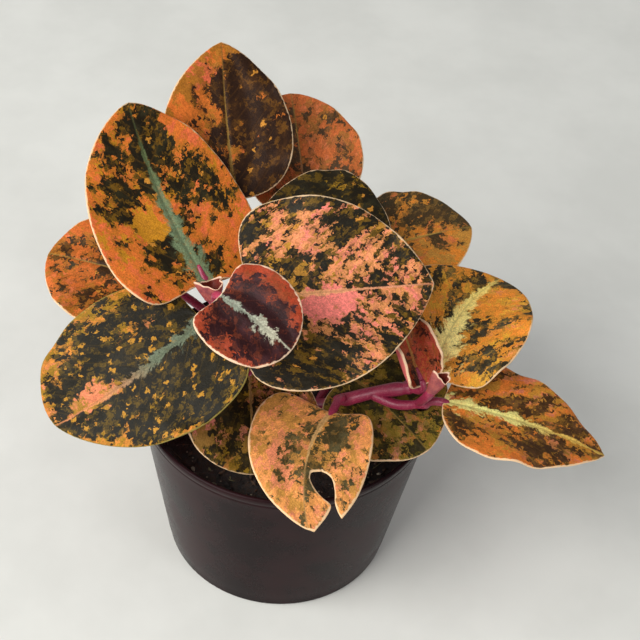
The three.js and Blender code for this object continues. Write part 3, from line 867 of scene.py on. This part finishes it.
STALK = group_material("stalk", "stalk skin", {}, 0.3, 0.1)[0]
PLASTIC = group_material("pot plastic", "moulded plastic", {}, 0.12, 0.06, POT_GLOSS)[0]
CRUMBS = group_material("potting mix", "potting crumbs", {}, 1.0, 0.6)[0]
CHIPS = chip_material()
BUD = bud_material()


def leaf_materials(name, leaf):
    """The upper face, underside and petiole of one leaf. The masks of its spots are summed for each
    layer and push that layer's share of the face."""
    paint = {**PLAIN_PAINT, **PAINTS[name]}
    values = {key: paint[key] for key in LEAF_IN if key in paint}
    face, t, skin = group_material(name + " face", "leaf face", values, 0.6, 0.16, LEAF_GLOSS)
    totals = {}
    for layer, s, across, long, wide, strength in paint["spots"]:
        place = dict(
            across=across * outline(leaf, s), along=s * leaf_length(leaf), wide=wide, long=long,
            strength=strength,
        )
        mask = t.use("leaf spot", place).outputs["Mask"]
        totals[layer] = t.plus(totals[layer], mask) if layer in totals else mask
    for layer, total in totals.items():
        t.tree.links.new(total, skin.inputs[layer + "_push"])
    values = {key: paint[key] for key in ("seed", "under", "under_vein", "margin")}
    back = group_material(name + " underside", "leaf underside", values, 0.4, 0.12)[0]
    return [face, back, STALK]


# ---- Leaves ------------------------------------------------------------------------------------

# Thickness, rounding, grooves, ridges and quilting are in millimetres. Veins run at shares of the
# way from the midrib to the margin, and a hole is that much wider across the blade than along it.
BLADE_ROWS = 84
ROWS_BELOW_NOTCH = 0.45
HALF_COLUMNS = 26
HALF_THICKNESS = 0.42
MARGIN_ROUNDING = 0.6
MIDRIB_GROOVE = 0.3
MIDRIB_RIDGE = 0.75
VEIN_GROOVE = 0.14
VEIN_RIDGE = 0.12
VEIN_PLACES = (0.36, 0.68)
QUILT_HEIGHT = 0.22
HOLE_STRETCH = 1.25


def leaf_length(leaf):
    """The straight way from the blade's base to its tip."""
    return float(np.linalg.norm(np.subtract(leaf["tip"], leaf["base"])))


def leaf_axes(leaf):
    """The blade's directions: across it to the right, along its midrib, and out of its face."""
    along = unit(np.subtract(leaf["tip"], leaf["base"]).astype(float))
    level = unit(np.cross(along, (0.0, 0.0, 1.0)))
    raised = np.cross(level, along)
    roll = np.radians(leaf["roll"])
    across = np.cos(roll) * level + np.sin(roll) * raised
    return np.stack([across, along, np.cross(across, along)])


def outline(leaf, s):
    """Half the blade's width at s: half * s^rise * (1 - s)^taper, scaled to peak at half."""
    rise, taper = leaf["rise"], leaf["taper"]
    peak_at = rise / (rise + taper)
    peak = peak_at**rise * (1 - peak_at) ** taper
    return leaf["width"] / 2 * s**rise * (1 - s) ** taper / peak


def flat_place(leaf, s, reach):
    """Where a point at s along the midrib and reach across it lies on the blade pressed flat: lobes
    draw it back by its spread squared times (1 - s)^3, and shear slides it along by its reach."""
    spread = np.abs(reach) / (leaf["width"] / 2)
    along = leaf_length(leaf) * (s - leaf["lobe"] * spread**2 * (1 - s) ** 3)
    return np.stack([reach, along + leaf["shear"] * reach], -1)


def blade(leaf, s, reach):
    """The blade's middle surface in its own axes. Fold rolls each half into an arc, bend and arch
    move the midrib sideways and up by 4 s (1 - s), cup lifts the blade by its spread squared, two
    sines that fade to nothing inside wave the margin, and a shallow cosine quilts each half."""
    length = leaf_length(leaf)
    half = leaf["width"] / 2
    hump = 4 * s * (1 - s)
    turn = max(np.radians(leaf["fold"]), 1e-6) / half
    edge = np.clip(np.abs(reach) / np.maximum(outline(leaf, np.clip(s, 0.02, 0.98)), 2), 0, 1)
    phase = leaf["phase"] + np.sign(reach) * 1.3
    wave = np.sin(17 * s + phase) + 0.6 * np.sin(29 * s - 2 * phase)
    ripple = leaf["ripple"] * edge**4 * np.clip(hump * 2, 0, 1) * wave
    quilt = QUILT_HEIGHT * np.cos(3 * np.pi * edge) * np.clip(hump * 1.5, 0, 1)
    return np.stack([
        np.sin(turn * reach) / turn + leaf["bend"] * length * hump,
        flat_place(leaf, s, reach)[..., 1],
        leaf["arch"] * length * hump + leaf["cup"] * half * (np.abs(reach) / half) ** 2
        + (1 - np.cos(turn * reach)) / turn + ripple + quilt,
    ], -1)


def distance_to(line, points):
    """Each point's distance to the nearest stretch of a line, both in the flat blade."""
    a, b = line[:-1], line[1:]
    span = b - a
    size = np.maximum((span**2).sum(-1), 1e-12)
    share = ((points[:, None] - a) * span).sum(-1) / size
    nearest = a + np.clip(share, 0, 1)[..., None] * span
    return np.sqrt(((points[:, None] - nearest) ** 2).sum(-1)).min(1)


def notch_rows(leaf, sign):
    """s and the inner line of one half of a notched blade, and the row at the notch's root. The line
    leaves the midrib towards the root, then follows the notch's side until it meets the margin."""
    length = leaf_length(leaf)
    edge = smooth_run(leaf["notch"]["right" if sign > 0 else "left"], np.linspace(0, 1, 200))
    root = edge[0, 1] / length
    shift = 4 * leaf["bend"] * length

    def inner_line(s):
        """Near the midrib up to the notch's root, and along the notch's own side past it."""
        across = np.interp(s, edge[:, 1] / length, edge[:, 0])
        start = (edge[0, 0] - shift * root * (1 - root)) * np.clip(s / root, 0, 1) ** 2
        return np.where(s < root, start, across - shift * s * (1 - s))

    trial = np.linspace(root, 0.999, 2000)
    meets = sign * (sign * outline(leaf, trial) - inner_line(trial)) < 0
    end = trial[np.argmax(meets)] if meets.any() else 1.0
    near = int(BLADE_ROWS * ROWS_BELOW_NOTCH)
    lower = root * eased(2 * near)[:near] / eased(2 * near)[near]
    s = np.concatenate([lower, root + (end - root) * eased(BLADE_ROWS + 1 - near)])
    return s, inner_line(s), near


def half_grid(leaf, sign):
    """s, the inner line and reach over one half of the blade, from its inner line, which is the
    midrib or a notch's side, to its margin, and the row where a notch begins."""
    if leaf["notch"]:
        s, inner, near = notch_rows(leaf, sign)
        outer = sign * outline(leaf, s)
        outer[-1] = inner[-1]
    else:
        s = eased(BLADE_ROWS + 1)
        inner, near = np.zeros_like(s), None
        outer = sign * outline(leaf, s)
    reach = inner[:, None] + (outer - inner)[:, None] * eased(HALF_COLUMNS + 1)
    return s, inner, reach, near


def blade_skin(leaf):
    """The blade's closed skin. Upper and under faces stand off the middle surface by a thickness
    that rounds off to nothing at the margin: sqrt(1 - (1 - d / rounding)^2) at distance d. The
    upper face has a groove along the midrib and side veins, and the underside has ridges, each
    with the profile of a bell curve."""
    halves = {sign: half_grid(leaf, sign) for sign in (-1, 1)}
    steps = np.linspace(0, 1, 260)
    rims = [flat_place(leaf, steps, sign * outline(leaf, steps)) for sign in (-1, 1)]
    if leaf["notch"]:
        for sign, (s, inner, _, near) in halves.items():
            rims.append(flat_place(leaf, s[near:], inner[near:]))
    points, flats, places, faces, indices = [], [], [], [], []
    axes = leaf_axes(leaf)
    for sign, (s, inner, reach, near) in halves.items():
        rows, columns = reach.shape
        s = np.repeat(s[:, None], columns, 1)
        middle = blade(leaf, s, reach)
        step_s, step_r = 0.004, 0.05
        along = blade(leaf, s + step_s, reach) - blade(leaf, s - step_s, reach)
        across = blade(leaf, s, reach + step_r) - blade(leaf, s, reach - step_r)
        normal = unit(np.cross(across, along))
        flat = flat_place(leaf, s, reach)
        gap = np.min([distance_to(rim, flat.reshape(-1, 2)) for rim in rims], 0).reshape(rows, columns)
        gap[:, -1] = 0
        gap[[0, -1]] = 0
        if near is not None:
            gap[near:, 0] = 0
        thick = HALF_THICKNESS * np.sqrt(1 - (1 - np.clip(gap / MARGIN_ROUNDING, 0, 1)) ** 2)
        share = np.abs(reach) / np.maximum(outline(leaf, np.clip(s, 0.01, 0.99)), 1)
        fade = np.clip(gap / 2, 0, 1) * np.clip((1.02 - s) * 2.5, 0, 1)
        rib = np.exp(-((reach / 0.55) ** 2))
        veins = sum(np.exp(-(((share - at) / 0.035) ** 2)) for at in VEIN_PLACES)
        groove = fade * (MIDRIB_GROOVE * rib + VEIN_GROOVE * veins * np.clip(1.2 - s, 0, 1))
        broad = np.exp(-((reach / 1.0) ** 2)) * np.clip(1 - s, 0, 1)
        ridge = fade * (MIDRIB_RIDGE * broad + VEIN_RIDGE * veins)
        top = middle + normal * (thick - groove)[..., None]
        low = middle - normal * (thick + ridge)[..., None]
        keep = np.concatenate([flat, gap[..., None]], -1).reshape(-1, 3)
        local = np.stack([s, np.sign(reach) * np.minimum(share, 1), 0 * s], -1).reshape(-1, 3)
        grid = np.arange(rows * columns).reshape(rows, columns)
        square = np.stack([grid[:-1, :-1], grid[:-1, 1:], grid[1:, 1:], grid[1:, :-1]], -1)
        square = square.reshape(-1, 4)
        for turn, layer in ((1, top), (-1, low)):
            start = sum(map(len, points))
            points.append(layer.reshape(-1, 3) @ axes + leaf["base"])
            flats.append(keep)
            places.append(local)
            faces.append(start + square[:, :: turn * sign])
            indices.append(np.full(len(square), int(turn < 0)))
    return tuple(map(np.concatenate, (points, flats, places, faces, indices)))


def petiole_skin(leaf):
    """A tube that grows out of the midrib's ridge, leaves below the blade's base, bends by its lead
    point to its stem and swells where it meets it."""
    base, joint = (np.array(leaf[key], float) for key in ("base", "joint"))
    _, along, out = leaf_axes(leaf)
    if leaf["lead"]:
        lead = np.array(leaf["lead"], float)
    else:
        lead = base - PETIOLE_BOW * np.linalg.norm(joint - base) * along
    heel = joint + PETIOLE_BOW * (lead - joint)
    body = bezier(base + 1.5 * along - 0.3 * out, lead, heel, joint, eased(30))
    inside = base + 5 * along - 0.35 * out
    path = np.concatenate([np.linspace(inside, body[0], 7)[:-1], body])
    share = np.linspace(0, 1, len(path))
    radii = PETIOLE_RADIUS * (0.35 + 0.65 * np.clip(share / 0.3, 0, 1) ** 0.7)
    radii = radii + PETIOLE_SWELL * np.clip((share - 0.85) / 0.15, 0, 1) ** 2
    return tube(path, np.minimum(radii, 4 * rounded(path, PETIOLE_RADIUS)), PETIOLE_SIDES)


def build_leaf(name, leaf):
    """A blade and its petiole as one piece: an upper face, an underside and a stalk's skin."""
    skin, flat, place, squares, layers = blade_skin(leaf)
    stalk = petiole_skin(leaf)
    points, faces, indices = gather((skin, squares.tolist()), stalk)
    indices = layers.tolist() + [2 * part for part in indices[len(layers):]]
    piece = add_piece(name, points, faces, indices, leaf_materials(name, leaf))
    empty = np.zeros((len(stalk[0]), 3))
    keep_value(piece.data, "flat", np.concatenate([flat, empty + 9]))
    keep_value(piece.data, "place", np.concatenate([place, empty]))
    weld(piece.data, 2e-6)
    if leaf["hole"]:
        hole = leaf["hole"]
        across, along, out = leaf_axes(leaf)
        centre = np.array(leaf["base"]) + hole["across"] * across + hole["along"] * along
        turn = Matrix(np.stack([HOLE_STRETCH * across, along, out]).T.tolist()).to_4x4()
        place = Matrix.Translation(Vector(centre * MM)) @ turn
        drill(piece, hole["radius"], 30, place)


# ---- Stems and buds ----------------------------------------------------------------------------


def build_stem(name, runs):
    """Round tubes along the stem's runs, slimmer towards their tips and a little swollen wherever a
    petiole leaves."""
    joints = np.array([leaf["joint"] for leaf in LEAVES.values()], float)
    skins = []
    for k, run in enumerate(runs):
        path = smooth_run(run, eased(90))
        radius = STEM_RADIUS if k == 0 else BRANCH_RADIUS
        near = ((path[:, None] - joints) ** 2).sum(-1).min(1)
        swell = NODE_SWELL * np.exp(-near / 6) + 0.08 * waves(path[:, 2], path[:, 0], 9, 5 + k)
        slim = 1.1 - 0.38 * np.linspace(0, 1, len(path))
        skins.append(tube(path, rounded(path, radius) * slim * (1 + swell / radius), STEM_SIDES))
    points, faces, indices = gather(*skins)
    add_piece(name, points, faces, [0] * len(indices), [STALK])


def build_bud(name, bud):
    """A small leaf still rolled into a cup on its stalk. Its outline runs up the outside, over the
    thin rim and down inside. Its radius flares with the sine of the share of its height, three wide
    and seven narrow lobes grow towards the mouth, and two sines make the rim wavy."""
    foot = np.array(bud["foot"], float)
    lean = np.array(bud["top"], float) - foot
    height = 1.25 * np.linalg.norm(lean)
    axis = unit(lean)
    one = unit(np.cross(axis, (0.0, 1.0, 0.0)))
    two = np.cross(axis, one)
    angle = np.linspace(0, 2 * np.pi, BUD_SIDES, endpoint=False)
    rise = np.concatenate([np.linspace(0.02, 1, 26), np.linspace(0.995, 0.3, 20)])
    wall = np.concatenate([np.zeros(25), (0.06, 0.2), np.full(19, BUD_WALL)])
    share = rise[:, None]
    flare = bud["mouth"] * (0.55 + 0.45 * np.sin(share * np.pi / 2) ** 1.4)
    lobes = 1 + 0.16 * share * np.sin(3 * angle + 1) + 0.08 * share**2 * np.sin(7 * angle)
    radius = np.maximum(flare * lobes - wall[:, None], 0.15) * np.minimum(1, 0.4 + 6 * share)
    wavy = 0.12 * np.sin(2 * angle + 0.6) + 0.03 * np.sin(5 * angle)
    tall = height * share * (1 + wavy * share**3)
    ring = np.cos(angle)[:, None] * one + 0.72 * np.sin(angle)[:, None] * two
    rings = foot + radius[..., None] * ring + tall[..., None] * axis
    cup = skin_points(rings, foot - 0.3 * axis, foot + 0.28 * height * axis)
    joint = np.array(bud["joint"], float)
    share = np.linspace(0, 1, 26)
    path = bezier(foot + 1.5 * axis, foot - 2 * axis, joint + 0.3 * (foot - joint), joint, share)
    stalk = tube(path, rounded(path, BUD_STALK_RADIUS) * (1 - 0.25 * share), PETIOLE_SIDES)
    points, faces, indices = gather((cup, skin_faces(len(rise), BUD_SIDES)), stalk)
    piece = add_piece(name, points, faces, indices, [BUD, STALK])
    below = np.concatenate([[1.0], np.repeat(1 - rise, BUD_SIDES), [1.0]]) * height
    inside = np.concatenate([[0.0], np.repeat(wall > 0, BUD_SIDES), [1.0]])
    flat = np.stack([below, inside, 0 * below], -1)
    keep_value(piece.data, "flat", np.concatenate([flat, np.zeros((len(stalk[0]), 3))]))
    weld(piece.data, 1e-6)


# ---- Pot and soil ------------------------------------------------------------------------------


def outer_radius(height):
    """The pot's outside at a height: a straight taper from its base radius to its top radius."""
    return POT_BASE_RADIUS + (POT_TOP_RADIUS - POT_BASE_RADIUS) * height / POT_HEIGHT


def arc(centre, radius, start, end, steps=7):
    """Points on an arc, with angles in degrees from the outward direction."""
    angle = np.radians(np.linspace(start, end, steps))
    return [(centre[0] + radius * np.cos(a), centre[1] + radius * np.sin(a)) for a in angle]


def lathe(profile, sides):
    """Rings turned about Z from a profile of (radius, height) that starts and ends on the axis."""
    profile = np.array(profile)
    angle = np.linspace(0, 2 * np.pi, sides, endpoint=False)
    ring = np.stack([np.cos(angle), np.sin(angle), 0 * angle], -1)
    middle = profile[1:-1]
    rings = middle[:, :1, None] * ring + middle[:, 1, None, None] * np.array([0, 0, 1.0])
    ends = [np.array([0, 0, profile[k, 1]]) for k in (0, -1)]
    return skin_points(rings, *ends), skin_faces(len(middle), sides)


def build_pot():
    """A thin tapered wall with a rolled lip, a rounded foot ring, a recess and drain holes."""
    foot = POT_BASE_RADIUS - FOOT_RING_WIDTH
    lip = POT_WALL / 2
    inner = POT_TOP_RADIUS - POT_WALL
    floor_corner = outer_radius(POT_FLOOR) - POT_WALL
    up = np.linspace(1.2, POT_HEIGHT - 3.4, 16)[1:]
    down = np.linspace(POT_HEIGHT - 1.6, POT_FLOOR + 1.2, 12)
    fine, soft, full = POT_ROUNDINGS
    profile = [(0, 0), (4, 0), (FOOT_DISC_RADIUS - fine, 0)]
    profile += arc((FOOT_DISC_RADIUS - fine, fine), fine, -90, 0, 4)
    profile += arc((FOOT_DISC_RADIUS + 0.6, UNDERSIDE_RECESS - soft), soft, 180, 90, 4)
    profile += arc((foot - 0.6, UNDERSIDE_RECESS - soft), soft, 90, 0, 4)
    profile += arc((foot + soft, soft), soft, 180, 270, 4)
    profile += arc((POT_BASE_RADIUS - full, full), full, -90, 4, 8)
    profile += [(outer_radius(z), z) for z in up]
    # A fine groove under the rim.
    profile += [(outer_radius(POT_HEIGHT - 3.0) + 0.02, POT_HEIGHT - 3.0),
                (outer_radius(POT_HEIGHT - 2.7) - 0.12, POT_HEIGHT - 2.7),
                (outer_radius(POT_HEIGHT - 2.3), POT_HEIGHT - 2.3)]
    profile += arc((POT_TOP_RADIUS - lip, POT_HEIGHT - lip), lip, 5, 175, 11)
    profile += [(inner - (POT_TOP_RADIUS - outer_radius(z)), z) for z in down]
    profile += arc((floor_corner - full, POT_FLOOR + full), full, 0, -90, 5)
    profile += [(20, POT_FLOOR), (0, POT_FLOOR)]
    points, faces = lathe(profile, POT_SIDES)
    pot = add_piece("pot", points, faces, [0] * len(faces), [PLASTIC])
    for k in range(DRAIN_HOLES):
        angle = 2 * np.pi * k / DRAIN_HOLES
        centre = Vector((np.cos(angle), np.sin(angle), 0)) * DRAIN_CIRCLE_RADIUS * MM
        drill(pot, DRAIN_HOLE_RADIUS, 20, Matrix.Translation(centre))


def soil_height(x, y):
    """The edge's height, plus 1 - far^2 for a low crown, plus lumps of three sizes."""
    far = np.sqrt(x**2 + y**2) / SOIL_HIGH[0]
    lumps = 0.55 * waves(x, y, 13, 1) + 0.35 * waves(x, y, 5, 2) + 0.22 * waves(x, y, 2.2, 3)
    return SOIL_EDGE_HEIGHT + (1 - far**2) + lumps * 0.8


def build_soil():
    """The potting mix: a closed body with a lumpy top, and loose bark and fibre pieces on it."""
    edge = SOIL_HIGH[0] - 0.1
    bottom = SOIL_LOW[2]
    base = edge - (POT_TOP_RADIUS - POT_BASE_RADIUS) * (SOIL_EDGE_HEIGHT - bottom) / POT_HEIGHT
    low = [(0, bottom), (base - 1, bottom), (base, bottom + 1), (edge, SOIL_EDGE_HEIGHT)]
    top = [(edge * k, SOIL_EDGE_HEIGHT) for k in np.linspace(0.985, 0.02, 62)]
    mix, mix_faces = lathe(low + top + [(0, SOIL_EDGE_HEIGHT)], SOIL_SIDES)
    upper = mix[:, 2] > SOIL_EDGE_HEIGHT - 0.01
    mix[upper, 2] = soil_height(mix[upper, 0], mix[upper, 1])
    chips, chip_faces, tints = loose_chips()
    points, faces, indices = gather((mix, mix_faces), (chips, chip_faces))
    piece = add_piece("soil", points, faces, indices, [CRUMBS, CHIPS])
    keep_value(piece.data, "tint", np.concatenate([np.zeros(len(mix)), tints]))


def loose_chips():
    """Bark, fibre and grit: six-sided spindles of 24 faces, squashed, turned and strewn about."""
    rng = np.random.default_rng(12)
    angle = np.linspace(0, 2 * np.pi, 6, endpoint=False)
    rings = np.stack([
        np.stack([r * np.cos(angle + z), r * np.sin(angle + z), 0 * angle + z], -1)
        for r, z in ((0.62, -0.55), (1.0, 0.05), (0.6, 0.6))
    ])
    spindle = skin_points(rings, np.array([0, 0, -1.0]), np.array([0, 0, 1.0]))
    shape = spindle[None] * (1 + 0.28 * rng.standard_normal((CHIP_COUNT, len(spindle), 3)))
    thin = rng.random(CHIP_COUNT) < 0.2
    size = rng.uniform(0.35, 1.15, CHIP_COUNT)
    girth = np.where(thin, 0.16, rng.uniform(0.35, 0.8, CHIP_COUNT))
    long = np.where(thin, 2.6, rng.uniform(0.8, 1.5, CHIP_COUNT))
    shape = shape * (size[:, None] * np.stack([girth * 1.2, girth * 0.7, long], -1))[:, None]
    heading = unit(rng.standard_normal((CHIP_COUNT, 3)) * (1, 1, 0.25))
    side = unit(np.cross(heading, rng.standard_normal((CHIP_COUNT, 3))))
    axes = np.stack([side, np.cross(side, heading), heading], 1)
    far = (SOIL_HIGH[0] - 1.6) * np.sqrt(rng.random(CHIP_COUNT))
    where = rng.uniform(0, 2 * np.pi, CHIP_COUNT)
    x, y = far * np.cos(where), far * np.sin(where)
    centre = np.stack([x, y, soil_height(x, y) + 0.25], -1)
    points = (shape @ axes + centre[:, None]).reshape(-1, 3)
    one = skin_faces(len(rings), len(angle))
    faces = [
        [chip * len(spindle) + corner for corner in face] for chip in range(CHIP_COUNT) for face in one
    ]
    return points, faces, np.repeat(rng.random(CHIP_COUNT), len(spindle))


# ---- Studio ------------------------------------------------------------------------------------

CAMERA_TARGET = Vector((0.007, 0, 0.082))
CAMERA_DISTANCE = 0.36
CAMERA_ELEVATION = np.radians(44)
CAMERA_ROLL = np.radians(5.5)
LENS = 78.75
FLOOR_REACH = 3.0
# Each lamp's place and size in metres, its power in watts and its tint.
LAMPS = {
    "key": ((-0.75, -0.7, 0.85), (1.0, 1.0), 20.0, (1.0, 0.985, 0.96)),
    "right": ((0.75, -0.55, 0.35), (0.35, 0.6), 2.6, (0.97, 0.98, 1.0)),
    "left": ((-0.8, -0.1, 0.3), (0.25, 0.5), 3.0, (0.97, 0.98, 1.0)),
}


def set_camera():
    """Looks down on the plant's front from 44 degrees up, rolled a little to the left."""
    back = Vector((0, -np.cos(CAMERA_ELEVATION), np.sin(CAMERA_ELEVATION)))
    level = Vector((1, 0, 0))
    raised = Vector((0, np.sin(CAMERA_ELEVATION), np.cos(CAMERA_ELEVATION)))
    right = level * np.cos(CAMERA_ROLL) + raised * np.sin(CAMERA_ROLL)
    up = raised * np.cos(CAMERA_ROLL) - level * np.sin(CAMERA_ROLL)
    place = CAMERA_TARGET + back * CAMERA_DISTANCE
    data = bpy.data.cameras.new("camera")
    data.lens = LENS
    data.sensor_width = 36
    camera = place_object("camera", data)
    camera.matrix_world = Matrix.Translation(place) @ Matrix([right, up, back]).transposed().to_4x4()
    bpy.context.scene.camera = camera


def add_light(name, place, size, power, tint):
    """A soft oblong lamp that faces the middle of the plant."""
    data = bpy.data.lights.new(name, "AREA")
    data.shape = "RECTANGLE"
    data.size, data.size_y = size
    data.energy = power
    data.color = tint
    lamp = place_object(name, data)
    lamp.location = place
    lamp.rotation_euler = (CAMERA_TARGET - Vector(place)).to_track_quat("-Z", "Y").to_euler()


def set_stage():
    """A wide pale floor under a pale sky, with a large soft lamp high on the left and others low."""
    mesh = bpy.data.meshes.new("floor")
    corners = [(x * FLOOR_REACH, y * FLOOR_REACH, 0) for x, y in ((-1, -1), (1, -1), (1, 1), (-1, 1))]
    mesh.from_pydata(corners, [], [(0, 1, 2, 3)])
    pale, t, shader = blank_material("pale floor")
    cloud = t.noise(t.objects(), 0.02, 4.0, 0.6)
    tone = t.blend(t.ramp(cloud, 0.3, 0.7), "#cfcfc9", "#d8d8d2")
    t.tree.links.new(tone, shader.inputs["Base Color"])
    shader.inputs["Roughness"].default_value = 0.9
    mesh.materials.append(pale)
    place_object("floor", mesh)

    world = bpy.data.worlds.new("pale sky")
    bpy.context.scene.world = world
    world.use_nodes = True
    sky = world.node_tree.nodes["Background"]
    sky.inputs["Color"].default_value = colour("#e4e6e8")
    sky.inputs["Strength"].default_value = 0.5
    for name, lamp in LAMPS.items():
        add_light(name, *lamp)
    view = bpy.context.scene.view_settings
    view.view_transform = "Standard"
    view.look = "None"


# ---- Put together ------------------------------------------------------------------------------

set_camera()
set_stage()
build_pot()
build_soil()
for name, runs in STEMS.items():
    build_stem(name, runs)
for number, (name, values) in enumerate(LEAVES.items()):
    build_leaf(name, {**PLAIN_LEAF, "phase": 1.7 * number, **values})
for name, bud in BUDS.items():
    build_bud(name, bud)
